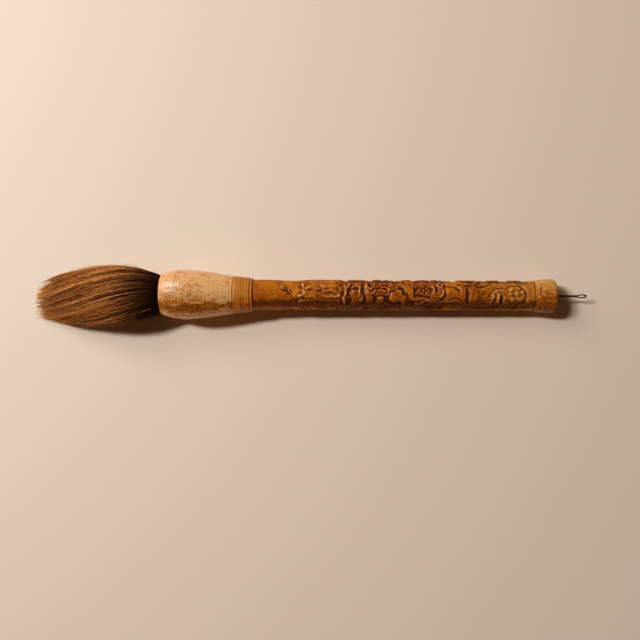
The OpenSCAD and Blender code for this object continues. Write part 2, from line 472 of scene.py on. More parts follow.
def thread_material():
    """Dark red thread with a fibrous surface."""
    n = Nodes("thread", 0.85, 0.2)
    fibre = n.noise(1200, 4, 0.7, n.stretched((1.0, 3.0, 3.0)))
    colour = n.mix(n.between(fibre, 0.35, 0.7), (0.24, 0.03, 0.02), (0.10, 0.012, 0.01))
    n.bump(fibre, 0.6, 0.1)
    return n.finish(colour)


def wire_material():
    """Thin iron wire, browned with age."""
    n = Nodes("dark_wire", 0.45, 0.5, metallic=0.55)
    rust = n.noise(900, 5, 0.65)
    colour = n.mix(n.between(rust, 0.4, 0.65), (0.035, 0.014, 0.012), (0.11, 0.035, 0.018))
    n.bump(rust, 0.5, 0.08)
    return n.finish(colour, n.between(rust, 0.35, 0.7, 0.35, 0.7))


HAIR = hair_material("hair", (0.030, 0.007, 0.002), (0.34, 0.106, 0.020),
                     (0.98, 0.50, 0.17))
# a darker copy of the hair for the inner coats and packed body: painted shade inside the tuft
SHADED_INNER_HAIR = hair_material("hair_inner", (0.018, 0.005, 0.002), (0.16, 0.046, 0.008),
                           (0.50, 0.20, 0.045))
PALE_BONE = bone("pale_bone", (0.77, 0.45, 0.225), (0.47, 0.17, 0.013), (0.13, 0.032, 0.003),
                 stain_and_shade=0.35, pores=1.0, shine=0.32, coat=0.35)
YELLOW_BONE = bone("yellow_bone", (0.66, 0.29, 0.050), (0.44, 0.15, 0.008),
                   (0.12, 0.030, 0.003), stain_and_shade=0.6, pores=0.2, shine=0.40, coat=0.15,
                   lines=0.5, seed=0.7)
TAN_BONE = bone("tan_bone", (0.67, 0.37, 0.12), (0.37, 0.118, 0.004), (0.085, 0.019, 0.002),
                stain_and_shade=0.35, pores=0.4, shine=0.36, coat=0.25, seed=1.3)
HONEY_BONE = carved_bone()
WOOD = wood_material()
ROSIN = rosin_material()
THREAD = thread_material()
WIRE = wire_material()


# --- the ferrule, the collar and the end band ----------------------------------------

CROWN_AT = 13.0
MOUTH_R = 10.4
BOWL_REAR_R = 9.8


def bowl_radius(s):
    if s < CROWN_AT:
        return CROWN_R - (CROWN_R - MOUTH_R) * (1 - s / CROWN_AT) ** 2.4
    return CROWN_R - (CROWN_R - BOWL_REAR_R) * ((s - CROWN_AT) / (BOWL_LEN - CROWN_AT)) ** 1.35


def make_bowl():
    """The bowl: a rounded lip, two engraved rings, one fine line, a socket and a dowel hole."""
    tenon_from = span("joint_tenon")[0] - MOUTH_AT
    outer = [(s, bowl_radius(s)) for s in np.linspace(0.45, BOWL_LEN - 0.3, 150)]
    outline = [(ROOT_TO, 0), (ROOT_TO, SOCKET_R), (0.5, SOCKET_R), (0.12, SOCKET_R + 0.2),
               (0.0, SOCKET_R + 0.55), (0.1, bowl_radius(0.1) - 0.25)]
    outline += outer
    outline += [(BOWL_LEN, BOWL_REAR_R - 0.22), (BOWL_LEN, BORE_R), (tenon_from, BORE_R),
                (tenon_from, 0)]
    outline = outline[:1] + finely(outline[1:-1], 0.5) + outline[-1:]
    grooves = [(8.5, 0.27, 0.085), (9.9, 0.25, 0.075), (1.1, 0.22, 0.03), (34.2, 0.18, 0.04),
               (35.6, 0.24, 0.07)]
    return lathe("ferrule_bowl", outline, 224, PALE_BONE, grooves, 0.03, 3)


def make_collar():
    """The collar: a deep groove, fine turned lines, and a bead before the tube."""
    start, length = BOWL_LEN, TUBE_AT - BOWL_LEN
    bead_at, bead_r = start + length - 1.25, 0.5
    bead = [(bead_at - bead_r * math.cos(a), 8.3 + bead_r * math.sin(a))
            for a in np.linspace(0.1, math.pi - 0.1, 9)]
    outline = [(start, BORE_R), (start, 9.56), (start + 0.3, 9.58), (start + 0.8, 9.64),
               (start + 1.4, 9.64), (start + length - 2.5, 8.95), (start + length - 2.2, 8.8),
               (start + length - 2.0, 8.45)]
    outline += bead + [(TUBE_AT - 0.5, 8.05), (TUBE_AT, 7.95), (TUBE_AT, BORE_R)]
    outline = finely(outline + [outline[0]], 0.22)[:-1]
    lines = [(start + 2.2, 0.16, 0.05), (start + 3.1, 0.14, 0.035), (start + 4.2, 0.24, 0.10),
             (start + 4.9, 0.16, 0.05), (start + 5.5, 0.24, 0.09), (start + 6.6, 0.16, 0.05),
             (start + 7.3, 0.2, 0.07)]
    ends = [(start + 0.2, 0.4, 0.04), (start + length - 2.0, 0.3, 0.06),
            (TUBE_AT - 0.3, 0.3, 0.14)]
    return lathe("collar_ring", outline, 192, YELLOW_BONE, lines + ends, 0.02, 5, True)


def make_end_band():
    """The end band: a groove, a raised edge, a short flare and a worn rim with a painted shade
    line.
    """
    hole_r = 0.52
    rim = [(END_AT - 0.75 + 0.75 * math.sin(a), BAND_R - 0.75 + 0.75 * math.cos(a))
           for a in np.linspace(0, math.pi / 2, 8)]
    recess = BAND_AT + 5.0
    outline = [(BAND_AT, BORE_R), (BAND_AT, 7.55), (BAND_AT + 0.35, 7.55),
               (BAND_AT + 0.5, 8.0), (BAND_AT + 0.8, 8.25), (BAND_AT + 1.2, 8.3),
               (BAND_AT + 3.2, 8.5), (BAND_AT + 5.5, BAND_R)]
    outline += rim + [(END_AT, hole_r + 0.25), (END_AT - 0.25, hole_r), (recess, hole_r),
                      (recess, BORE_R)]
    outline = finely(outline + [outline[0]], 0.3)[:-1]
    # the last line darkens the rim's far edge: a painted shade line over a slight cut
    lines = [(BAND_AT + 0.15, 0.4, 0.09), (BAND_AT + 1.7, 0.26, 0.06),
             (END_AT - 0.3, 0.7, 0.10)]
    return lathe("end_cap", outline, 192, TAN_BONE, lines, 0.05, 8, True, END_SHADE)


# --- the carved tube -----------------------------------------------------------------

# Places on the tube are (u, v) in mm: u from its front end, v round from its top to +side.
COLUMNS = 256
NECK_LEN = 13.0
CARVED_FROM, CARVED_TO = 23.0, 143.0
GROUND_R = TUBE_R - 0.8


class Relief:
    """Heights in mm over the ground of a tube's surface, by length u and arc v round it."""

    # the cut along a raised shape's edge: how far out it lies, its half width, its depth
    TRENCH_AT, TRENCH_HALF, TRENCH_DEPTH = 0.46, 0.52, 1.2
    # how much of a line's width its raised top takes up, and how far a groove's sides spread
    RIDGE_SHARE, CUT_SPREAD, CUT_DEPTH = 0.62, 1.4, 0.85

    def __init__(self, length, radius, u_step, columns):
        self.u = np.linspace(0, length, int(length / u_step) + 1)
        self.columns = columns
        self.step = 2 * math.pi * radius / columns
        self.height = np.zeros((len(self.u), columns))
        self.shift = (0.20 * self.noise(3.6, 31) + 0.10 * self.noise(1.5, 32),
                      0.20 * self.noise(3.6, 33) + 0.10 * self.noise(1.5, 34))

    def noise(self, size, seed, count=26):
        """Smooth unevenness with features of about the size given; it joins up round the tube."""
        random = np.random.default_rng(seed)
        turn = random.uniform(0, math.pi, count)
        wave = 2 * math.pi / (size * random.uniform(0.75, 1.4, count))
        phase = random.uniform(0, 2 * math.pi, count)
        around = np.round(wave * np.sin(turn) * self.columns * self.step / (2 * math.pi))
        angle = np.arange(self.columns) * 2 * math.pi / self.columns
        field = np.zeros((len(self.u), self.columns))
        for k in range(count):
            field += np.cos(self.u[:, None] * wave[k] * math.cos(turn[k])
                            + around[k] * angle[None, :] + phase[k])
        return field * math.sqrt(2 / count)

    def near(self, points, reach):
        """The part of the grid within reach of the points, with a hand-cut waver."""
        lo, hi = points.min(0) - reach, points.max(0) + reach
        rows = np.flatnonzero((self.u >= lo[0]) & (self.u <= hi[0]))
        cols = np.arange(math.floor(lo[1] / self.step), math.ceil(hi[1] / self.step) + 1)
        uu, vv = np.meshgrid(self.u[rows], cols * self.step, indexing="ij")
        where = np.ix_(rows, cols % self.columns)
        return where, uu + self.shift[0][where], vv + self.shift[1][where]

    def set_over(self, where, top, edge, soft=0.5, trench=0.16):
        """Lays a raised shape over what is there, with a dark cut along its edge."""
        inside = 1 - smooth(edge / soft * 0.5 + 0.5)
        h = self.height[where]
        beside = np.exp(-((edge - self.TRENCH_AT) / self.TRENCH_HALF) ** 2)
        h = h - self.TRENCH_DEPTH * trench * beside
        self.height[where] = h * (1 - inside) + top * inside

    def along(self, points, uu, vv):
        """Distance from a line, and the share of the way along it."""
        best = np.full(uu.shape, 1e9)
        share = np.zeros(uu.shape)
        count = len(points) - 1
        for k, (a, b) in enumerate(zip(points[:-1], points[1:])):
            d = b - a
            t = np.clip(((uu - a[0]) * d[0] + (vv - a[1]) * d[1]) / max(d @ d, 1e-9), 0, 1)
            distance = np.hypot(uu - a[0] - t * d[0], vv - a[1] - t * d[1])
            share = np.where(distance < best, (k + t) / count, share)
            best = np.minimum(best, distance)
        return best, share

    @staticmethod
    def tapered(taper, share):
        return taper[0] + (taper[1] - taper[0]) * share

    def ridge(self, points, width, level, taper=(1.0, 1.0), dome=0.5, trench=0.16):
        """A raised line; taper is its width at each end."""
        points = np.asarray(points, float)
        where, uu, vv = self.near(points, width + 1.0)
        best, share = self.along(points, uu, vv)
        half = self.RIDGE_SHARE * width * self.tapered(taper, share)
        top = level * (1 - dome * np.clip(best / np.maximum(half, 0.05), 0, 1) ** 2)
        self.set_over(where, top, best - half, 0.42, trench)

    def cut(self, points, width, depth, taper=(1.0, 1.0)):
        """A carved groove."""
        points = np.asarray(points, float)
        where, uu, vv = self.near(points, width + 0.5)
        best, share = self.along(points, uu, vv)
        half = width / 2 * self.tapered(taper, share)
        spread = np.maximum(half * self.CUT_SPREAD, 0.06)
        self.height[where] -= self.CUT_DEPTH * depth * np.exp(-(best / spread) ** 2)

    def mound(self, u, v, half_u, half_v, level, turn=0.0, power=2.4, dome=0.3, trench=0.16):
        """A raised rounded shape with a cut edge."""
        where, uu, vv = self.near(np.array([[u, v]]), max(half_u, half_v) + 1.0)
        q = self.oval(uu, vv, u, v, half_u, half_v, turn, power)
        top = level * (1 - dome * np.clip(q, 0, 1) ** 2)
        self.set_over(where, top, (q - 1) * min(half_u, half_v), trench=trench)

    def hollow(self, u, v, half_u, half_v, depth, power=3.0, turn=0.0):
        """A sunk area with steep sides."""
        where, uu, vv = self.near(np.array([[u, v]]), max(half_u, half_v) + 0.6)
        q = self.oval(uu, vv, u, v, half_u, half_v, turn, power)
        inside = 1 - smooth(((q - 1) * min(half_u, half_v)) / 0.5 + 0.5)
        self.height[where] = self.height[where] * (1 - inside) - depth * inside

    def swell(self, u, v, half_u, half_v, height, turn=0.0):
        """A gentle rise, or with a negative height a gentle dip."""
        where, uu, vv = self.near(np.array([[u, v]]), 2.2 * max(half_u, half_v))
        q = self.oval(uu, vv, u, v, half_u, half_v, turn, 2.0)
        self.height[where] += height * np.exp(-q ** 2)

    @staticmethod
    def oval(uu, vv, u, v, half_u, half_v, turn, power):
        """Share of the way from an oval's centre to its edge, which is at 1."""
        c, s = math.cos(turn), math.sin(turn)
        x = np.abs((uu - u) * c + (vv - v) * s) / half_u
        y = np.abs(-(uu - u) * s + (vv - v) * c) / half_v
        return (x ** power + y ** power) ** (1 / power)


def arc(u, v, radius, start, end, count=12, squash=1.0):
    """Points on an arc, with angles in degrees."""
    angle = np.radians(np.linspace(start, end, count))
    return np.stack([u + radius * np.cos(angle), v + squash * radius * np.sin(angle)], 1)


def curl(u, v, radius, start, turns, inner=0.25):
    """Points on a spiral that winds inwards from start degrees; negative turns wind back."""
    t = np.linspace(0, 1, int(14 * abs(turns)) + 6)
    angle = math.radians(start) + t * turns * 2 * math.pi
    r = radius * (1 - (1 - inner) * t)
    return np.stack([u + r * np.cos(angle), v + r * np.sin(angle)], 1)


def wavy(a, b, bend, waves=1.0, count=16):
    """Points from a to b that swing to the side by bend."""
    a, b = np.asarray(a, float), np.asarray(b, float)
    t = np.linspace(0, 1, count)[:, None]
    d = b - a
    side = np.array([-d[1], d[0]]) / max(np.hypot(*d), 1e-9)
    return a + d * t + side * bend * np.sin(t * math.pi * waves)


def rounded(*corners, steps=3):
    """A smooth line through a few corner points."""
    points = np.asarray(corners, float)
    for _ in range(steps):
        middle = np.empty((2 * len(points) - 2, 2))
        middle[0::2] = points[:-1] * 0.75 + points[1:] * 0.25
        middle[1::2] = points[:-1] * 0.25 + points[1:] * 0.75
        points = np.vstack([points[:1], middle, points[-1:]])
    return points


def cloud(relief, u, v, size, way=1, level=0.72):
    """A scroll cloud: scalloped banks behind a curled head, with a tail."""
    for du, dv, r in ((-1.1, 0.55, 0.8), (-0.4, 1.05, 0.75), (0.45, 1.0, 0.7), (1.1, 0.5, 0.65)):
        relief.mound(u + du * size * way, v + dv * size, r * size, r * size, level * 0.8)
    relief.mound(u, v, 1.4 * size, 0.85 * size, level * 0.85)
    relief.ridge(curl(u + 0.35 * size * way, v + 0.1 * size, 0.8 * size, 90, -1.2 * way),
                 0.5 * size, level, (1.0, 0.6))
    relief.ridge(wavy((u - 1.0 * size * way, v - 0.4 * size),
                      (u - 2.8 * size * way, v - 0.8 * size), 0.35 * size * way),
                 0.75 * size, level * 0.85, (1.0, 0.3))


def pine(relief, u, v, size, lean_angle, level=0.68):
    """A fan of needles."""
    relief.mound(u, v, size, size * 0.85, level * 0.7, lean_angle)
    for k in range(7):
        angle = lean_angle + math.radians(-66 + 22 * k)
        tip = (u + size * 1.2 * math.cos(angle), v + size * 1.05 * math.sin(angle))
        relief.ridge([(u, v), tip], 0.42 * size, level, (0.9, 0.4), trench=0.2)


def rock(relief, u, v, size, lean_angle, level=0.66):
    """Stacked rock faces with slanting cuts."""
    relief.mound(u, v, 1.6 * size, size, level * 0.85, lean_angle, 2.2)
    relief.mound(u + 0.5 * size, v - 0.35 * size, size, 0.62 * size, level, lean_angle + 0.35)
    relief.mound(u - 0.75 * size, v + 0.3 * size, 0.75 * size, 0.6 * size, level * 0.95)
    for k in range(3):
        start = (u + (k - 1.2) * 0.7 * size, v + 0.6 * size)
        relief.cut(wavy(start, (start[0] + 0.7 * size, v - 0.6 * size), 0.25 * size), 0.5, 0.3,
                   (1.0, 0.4))


def branch(relief, points, level=0.66):
    """A twig with side leaves."""
    points = np.asarray(points, float)
    relief.ridge(points, 1.0, level, (1.0, 0.5))
    for k in range(1, len(points) - 1, 2):
        d = points[k + 1] - points[k - 1]
        side = np.array([-d[1], d[0]]) / max(np.hypot(*d), 1e-9) * (1 if k % 4 == 1 else -1)
        tip = points[k] + side * 1.9 + d * 0.25
        tilt = math.atan2(tip[1] - points[k][1], tip[0] - points[k][0])
        relief.mound(*(points[k] * 0.35 + tip * 0.65), 1.2, 0.55, level * 1.05, tilt, 2.0)


def carve_neck_and_folds(relief):
    """A sprig on the plain neck, then folded rock faces over a ledge on small posts."""
    relief.ridge(rounded((13.6, 4.1), (15.0, 3.3), (16.6, 2.6)), 0.85, 0.62, (1.0, 0.6))
    relief.ridge(rounded((14.6, 5.3), (15.6, 4.6), (16.6, 4.3)), 0.6, 0.5, (1.0, 0.6))
    for u, v in ((17.4, 3.9), (18.2, 2.5), (19.0, 1.3)):
        relief.mound(u, v, 0.85, 0.38, 0.5, -0.75, 2.0, trench=0.2)
    relief.cut(rounded((14.2, 3.0), (17.2, 1.5), (19.2, -1.2), (21.8, -3.3)), 0.9, 0.56,
               (0.5, 1.6))
    relief.hollow(19.8, -7.4, 2.2, 0.8, 0.4, 2.2)
    relief.hollow(23.9, 4.4, 0.9, 0.9, 0.3, 2.2)
    relief.mound(36.2, 3.2, 11.2, 7.2, 0.44, 0.0, 3.4, 0.1, 0.25)
    relief.swell(30.0, -1.0, 4.6, 1.6, 0.34)
    for line, width in ((rounded((25.9, 1.6), (27.6, 3.9), (30.8, 4.6), (33.0, 3.2)), 1.9),
                        (rounded((23.6, -0.9), (27.4, 1.6), (31.4, 1.4), (33.6, 0.2)), 1.7),
                        (rounded((34.2, 4.9), (38.2, 4.4), (42.6, 5.4)), 1.7),
                        (rounded((35.4, 1.6), (39.6, 2.4), (44.2, 1.2)), 1.9),
                        (rounded((33.6, -1.0), (38.8, -1.2), (44.0, -0.8)), 1.5)):
        relief.ridge(line, width, 0.80, (0.6, 1.0), 0.6, 0.14)
    relief.ridge(rounded((25.3, 7.0), (25.2, 5.0), (25.8, 3.6)), 0.9, 0.78, (1.0, 0.7))
    for line, width, depth in (
            (rounded((26.0, 2.7), (29.0, 1.9), (33.6, 1.5), (37.0, 2.6)), 1.3, 0.34),
            (rounded((31.8, 4.3), (33.4, 2.6), (32.2, 0.4), (34.8, -1.6)), 1.3, 0.32),
            (rounded((34.4, 1.6), (38.0, 0.6), (43.6, 2.0)), 1.2, 0.36),
            (rounded((42.2, 4.2), (43.4, 1.8), (46.0, 0.6)), 1.2, 0.36),
            (rounded((37.0, 5.4), (41.0, 6.4), (46.0, 5.8)), 1.2, 0.32),
            (rounded((28.0, 6.6), (34.0, 7.4), (40.0, 7.6)), 1.1, 0.28),
            (rounded((36.0, -1.4), (40.0, -2.8), (45.0, -2.4)), 1.3, 0.34),
            (rounded((33.0, -4.0), (37.0, -5.2), (43.6, -5.6)), 1.2, 0.34)):
        relief.cut(line, width, depth, (0.5, 1.0))
    for u, v, length, width, turn in ((30.8, 3.4, 1.9, 1.1, -0.4), (35.6, 3.6, 1.6, 1.0, 0.3),
                                      (40.2, 3.8, 2.2, 1.1, 0.1), (39.4, 0.0, 1.9, 0.8, 0.2),
                                      (44.6, 2.2, 1.2, 1.2, 0.6), (43.8, -0.6, 1.6, 0.9, -0.2),
                                      (30.4, -0.4, 2.2, 0.9, 0.2), (36.6, -3.0, 2.0, 0.9, -0.2)):
        relief.swell(u, v, length, width, 0.22, turn)
    relief.cut([(22.4, -2.8), (26.0, -2.3), (30.6, -2.7)], 0.95, 0.5)
    relief.ridge(rounded((23.2, -5.0), (23.2, -3.8), (25.6, -3.2), (30.4, -3.4)), 0.85, 0.78)
    for u in (23.3, 24.8, 29.2):
        relief.ridge([(u, -4.4), (u + 0.1, -7.0)], 0.55, 0.55)
    relief.ridge(curl(31.2, -5.2, 1.1, 90, -0.7, 0.6), 0.6, 0.6)
    relief.cut(wavy((22.0, -8.4), (34.0, -8.8), -0.4, 3), 0.6, 0.3)
    relief.ridge(wavy((21.5, -9.6), (44.0, -9.9), 0.5, 5), 0.9, 0.6)


def carve_trunks(relief):
    """Two gnarled trunks, a post between them, and the deep holes round them."""
    relief.cut(rounded((45.3, 0.4), (45.0, -3.0), (45.6, -7.4)), 1.2, 0.5, (0.5, 1.1))
    relief.ridge(rounded((49.4, 5.4), (48.0, 4.2), (46.9, 1.4), (46.0, -1.8), (46.5, -4.6)),
                 1.5, 0.8, (1.1, 0.8))
    relief.ridge(rounded((46.0, 5.6), (47.0, 4.6), (47.6, 3.2)), 0.9, 0.76)
    relief.cut(rounded((50.4, 4.8), (49.2, 2.4), (48.8, 0.2), (50.2, -2.2), (50.6, -4.8)), 1.15,
               0.75, (0.8, 1.1))
    relief.hollow(48.9, -3.8, 1.25, 1.5, 0.55, 2.2)
    relief.mound(49.0, -3.5, 0.35, 0.6, 0.2, 0.0, 2.0)
    relief.mound(52.1, -3.6, 1.75, 5.6, 0.52, 0.03, 3.4, 0.25)
    relief.hollow(52.4, 3.4, 1.6, 0.85, 0.6, 2.2)
    relief.ridge(arc(52.5, 3.6, 2.2, 35, 150, squash=0.75), 0.8, 0.72)
    relief.ridge(rounded((54.6, 4.4), (54.5, 2.0), (53.8, 0.0), (54.2, -2.4), (54.9, -3.8)), 1.1,
                 0.84, (1.0, 0.8))
    relief.ridge(rounded((55.0, 0.4), (55.6, -1.2), (55.3, -3.2)), 0.7, 0.72)
    relief.cut(rounded((55.8, 6.6), (55.6, 4.0), (56.4, 1.0), (57.4, -1.0), (57.0, -3.0)), 1.2,
               0.7)
    relief.hollow(56.2, -4.7, 1.4, 0.9, 0.55, 2.2)
    relief.cut(wavy((54.4, -6.2), (60.4, -8.4), -0.4), 0.7, 0.35)


def carve_scrolls(relief):
    """Hooked scrolls over a level bar, a low curl, and wave lines below."""
    relief.mound(59.4, -0.6, 2.1, 4.4, 0.55, 0.25, 2.4, 0.3)
    relief.ridge(rounded((57.4, 4.6), (58.4, 1.8), (60.2, 0.0)), 0.95, 0.74)
    relief.ridge(rounded((62.6, 2.8), (61.4, 1.6), (60.3, 0.0)), 0.8, 0.74)
    relief.ridge(rounded((62.2, 8.0), (62.0, 5.6), (61.0, 3.8), (59.4, 3.2), (58.0, 4.4),
                         (57.6, 6.6)), 0.95, 0.82)
    relief.hollow(59.9, 5.8, 0.9, 1.4, 0.55, 2.2)
    relief.cut(rounded((61.0, -0.2), (62.0, -1.8), (62.8, -3.6)), 0.9, 0.45)
    relief.ridge(rounded((62.6, 4.3), (65.6, 3.9), (68.6, 4.3)), 0.7, 0.8)
    relief.cut(rounded((62.8, 3.3), (65.8, 3.0), (68.4, 2.8)), 0.6, 0.5)
    relief.ridge(rounded((63.6, 2.4), (66.0, 2.6), (67.8, 1.9)), 0.75, 0.7)
    relief.ridge(rounded((68.4, 3.4), (69.5, 2.0), (69.1, 0.4), (67.6, -0.4)), 0.8, 0.84)
    relief.cut(rounded((61.6, -2.4), (62.2, -1.0), (64.6, -0.6), (67.6, -1.1), (69.6, -0.5),
                       (71.2, 1.3), (72.8, 2.1)), 0.85, 0.62)
    relief.ridge(curl(65.2, -2.7, 1.5, 40, 1.2, 0.3), 0.7, 0.7)
    relief.cut(rounded((66.8, -1.6), (67.6, -3.0), (66.8, -4.6)), 0.8, 0.45)
    for u, v, r in ((63.2, 6.7, 1.0), (65.4, 6.4, 1.1), (67.9, 6.6, 1.0), (70.2, 6.0, 1.1)):
        relief.mound(u, v, r * 1.15, r, 0.72)
        relief.hollow(u - 0.25, v - 0.2, 0.4, 0.35, 0.2, 2.0)
    relief.ridge(wavy((58.0, -6.9), (69.6, -6.2), 0.6, 2), 0.9, 0.6)
    relief.ridge(wavy((60.0, -8.9), (75.0, -9.0), -0.5, 3), 1.0, 0.62)


def carve_gourd_and_branch(relief):
    """A gourd-shaped dome in a crescent hollow, and a branch with a deep cut behind it."""
    relief.hollow(71.0, -3.9, 3.4, 2.4, 0.45, 2.2, -0.5)
    relief.mound(72.3, -1.5, 3.1, 3.1, 0.66, -0.2, 2.1, 0.28, 0.35)
    relief.mound(73.3, 1.5, 1.25, 1.1, 0.62, 0.0, 2.0, 0.3, 0.1)
    relief.ridge(rounded((67.8, -1.8), (68.4, -3.6), (70.2, -5.2)), 0.6, 0.72, (1.0, 0.5))
    for k in range(3):
        relief.ridge(arc(71.2 + 0.7 * k, -3.0 - 1.3 * k, 4.4, 215, 325, squash=0.6), 0.7, 0.5)
    relief.ridge(rounded((73.9, 3.8), (75.2, 0.8), (76.4, -1.8), (77.2, -6.6)), 2.3, 0.70,
                 (0.7, 1.2))
    relief.mound(79.0, 3.4, 2.3, 3.4, 0.58, 0.5, 2.6, 0.15)
    relief.cut(rounded((74.6, 3.9), (76.4, 2.6), (78.4, 0.2), (80.2, -3.2), (81.6, -5.4)), 1.6,
               1.15, (0.8, 1.3))
    relief.cut(rounded((67.6, -1.5), (69.0, -4.0), (72.6, -5.6), (75.4, -5.0)), 1.3, 0.9,
               (0.7, 1.1))
    relief.cut(wavy((76.6, -4.6), (79.6, -8.6), 0.4), 0.7, 0.35)
    relief.ridge(wavy((73.0, 8.6), (82.0, 8.2), 0.5, 2), 1.6, 0.7)


def carve_panel(relief):
    """A sunk panel of leaves with a crisp frame, and the wavy border below it."""
    relief.hollow(86.0, 2.4, 4.3, 3.0, 0.22, 5.0)
    relief.swell(84.2, 3.8, 1.8, 1.2, -0.25)
    relief.ridge([(81.7, 5.8), (81.5, -0.6)], 0.75, 0.72)
    for k, (u, v) in enumerate(((83.4, 4.6), (85.2, 3.2), (86.6, 4.9), (87.4, 2.6), (84.2, 1.8),
                                (86.0, 1.2), (88.9, 3.9), (88.8, 1.0))):
        relief.mound(u, v, 0.85, 0.5, 0.22 + 0.03 * k, 0.7 - 0.5 * (k % 3), 2.0, trench=0.16)
    relief.ridge(rounded((82.4, 0.5), (85.4, 0.5), (87.6, -0.2), (90.4, -0.3)), 0.6, 0.6)
    relief.cut(rounded((82.2, -0.4), (85.6, -0.8), (89.0, -1.4), (91.0, -0.8)), 0.75, 0.5)
    relief.mound(86.0, -2.4, 4.4, 1.1, 0.5, -0.05, 3.0, 0.2, 0.15)
    relief.ridge(rounded((83.4, -5.4), (85.6, -5.0), (87.2, -3.6), (89.2, -3.0), (91.6, -3.6),
                         (94.4, -4.1), (96.8, -3.7), (99.2, -4.1), (101.6, -3.3), (103.6, -2.7),
                         (105.2, -3.6), (107.6, -4.4)), 0.85, 0.76)
    relief.mound(86.1, -4.6, 0.9, 0.55, 0.82, 0.5, 2.0)
    relief.mound(96.7, -3.5, 1.0, 0.6, 0.82, 0.2, 2.0)
    relief.hollow(97.4, -6.7, 9.6, 2.3, 0.30, 3.2)
    relief.ridge(wavy((85.0, -9.6), (108.0, -9.7), 0.3, 4), 0.9, 0.5)


def carve_curls(relief):
    """Upright curls round a dark eye, a hooked twig over smooth ground, and a deep slot."""
    relief.hollow(90.7, 2.6, 0.85, 1.7, 0.5, 2.2)
    relief.mound(94.6, 1.2, 3.2, 4.2, 0.35, 0.1, 2.2, 0.1)
    relief.ridge(rounded((91.7, 5.2), (92.2, 3.4), (93.2, 1.7)), 0.95, 0.84, (1.0, 0.7))
    relief.hollow(93.9, 2.9, 0.65, 1.6, 0.5, 2.2, 0.2)
    relief.ridge(curl(95.5, 5.3, 1.6, -60, 1.15, 0.5), 0.75, 0.8)
    relief.hollow(95.4, 5.3, 0.5, 0.6, 0.35, 2.0)
    relief.mound(97.5, 6.2, 0.8, 0.6, 0.84, 0.4, 2.0)
    relief.ridge(rounded((97.0, 3.2), (97.5, 1.6), (96.8, -0.2), (95.2, -1.4)), 0.95, 0.84,
                 (1.0, 0.7))
    relief.ridge(rounded((90.9, -0.9), (91.2, -2.2), (93.2, -2.9), (95.2, -2.6)), 0.7, 0.76)
    relief.cut(rounded((98.4, 1.0), (97.6, -1.2), (96.0, -3.0), (93.6, -3.6)), 0.7, 0.5)
    relief.swell(102.5, 1.0, 4.0, 3.0, 0.22)
    relief.cut(rounded((97.8, 5.7), (99.6, 4.4), (102.6, 4.4), (104.2, 3.6), (105.4, 2.2)), 0.6,
               0.45)
    relief.ridge(rounded((98.2, 6.7), (100.4, 5.5), (103.4, 5.6), (105.8, 4.6)), 0.85, 0.74)
    relief.ridge(rounded((104.9, 4.1), (106.4, 2.8), (106.9, 1.2), (106.6, -0.4), (105.4, -1.3)),
                 0.75, 0.86, (0.9, 0.7))
    relief.cut(rounded((105.2, 3.0), (106.0, 1.4), (105.7, -0.2)), 0.35, 0.3)
    relief.mound(110.9, -0.5, 4.0, 5.2, 0.5, 0.0, 3.6, 0.1, 0.1)
    relief.hollow(109.7, -0.4, 1.0, 4.2, 0.28, 3.0)


def carve_leaves_and_knob(relief):
    """Long leaves over the slot, a rough hollow, and a knob under an arch."""
    relief.cut(rounded((108.6, 5.6), (112.0, 5.0), (115.4, 5.2), (118.6, 4.6)), 0.7, 0.45)
    for u, v, turn, length in ((104.6, 7.4, 0.1, 2.4), (108.8, 7.1, 0.0, 2.6),
                               (112.6, 7.0, 0.3, 2.0), (114.8, 8.4, 0.6, 2.0),
                               (117.0, 6.6, 0.5, 1.9), (119.8, 6.9, 0.45, 1.8),
                               (118.4, 3.0, 0.05, 1.9), (121.0, 4.9, 0.5, 1.5),
                               (123.4, 5.6, 0.6, 1.5)):
        relief.mound(u, v, length, 0.72, 0.8, turn, 2.0)
        relief.cut([(u - length * 0.7 * math.cos(turn), v - length * 0.7 * math.sin(turn)),
                    (u + length * 0.8 * math.cos(turn), v + length * 0.8 * math.sin(turn))],
                   0.3, 0.16)
    relief.mound(114.5, 1.4, 0.45, 0.5, 0.8, 0.0, 2.0)
    relief.cut([(115.7, 1.4), (115.8, -3.4)], 0.8, 0.6)
    relief.hollow(119.0, -1.4, 2.7, 3.0, 0.28, 3.0)
    for k in range(3):
        relief.ridge(arc(119.0, -0.2 - 1.5 * k, 1.9, 200, 330, squash=0.5), 0.45, 0.12)
    relief.ridge(wavy((114.0, -5.6), (122.6, -5.4), -0.6), 0.9, 0.62)
    relief.cut(wavy((110.4, -6.6), (122.0, -7.8), -0.5), 0.8, 0.4)
    relief.hollow(125.6, 4.0, 0.7, 0.6, 0.5, 2.0)
    relief.mound(126.8, -1.0, 4.0, 4.2, 0.55, 0.0, 2.6, 0.15)
    relief.ridge(rounded((123.2, -2.6), (123.0, 0.4), (124.2, 2.2), (126.6, 2.6), (129.4, 2.2),
                         (130.6, 0.2), (130.2, -2.2)), 0.9, 0.76)
    relief.hollow(127.4, -2.2, 0.75, 2.3, 0.6, 2.2)
    relief.hollow(123.9, -3.2, 0.5, 1.5, 0.5, 2.2)
    relief.ridge(rounded((125.3, 0.6), (125.4, -1.4), (125.2, -3.6)), 1.35, 0.86, (0.9, 0.8))
    relief.ridge(curl(129.0, -1.2, 0.9, 90, 0.8, 0.5), 0.5, 0.7)


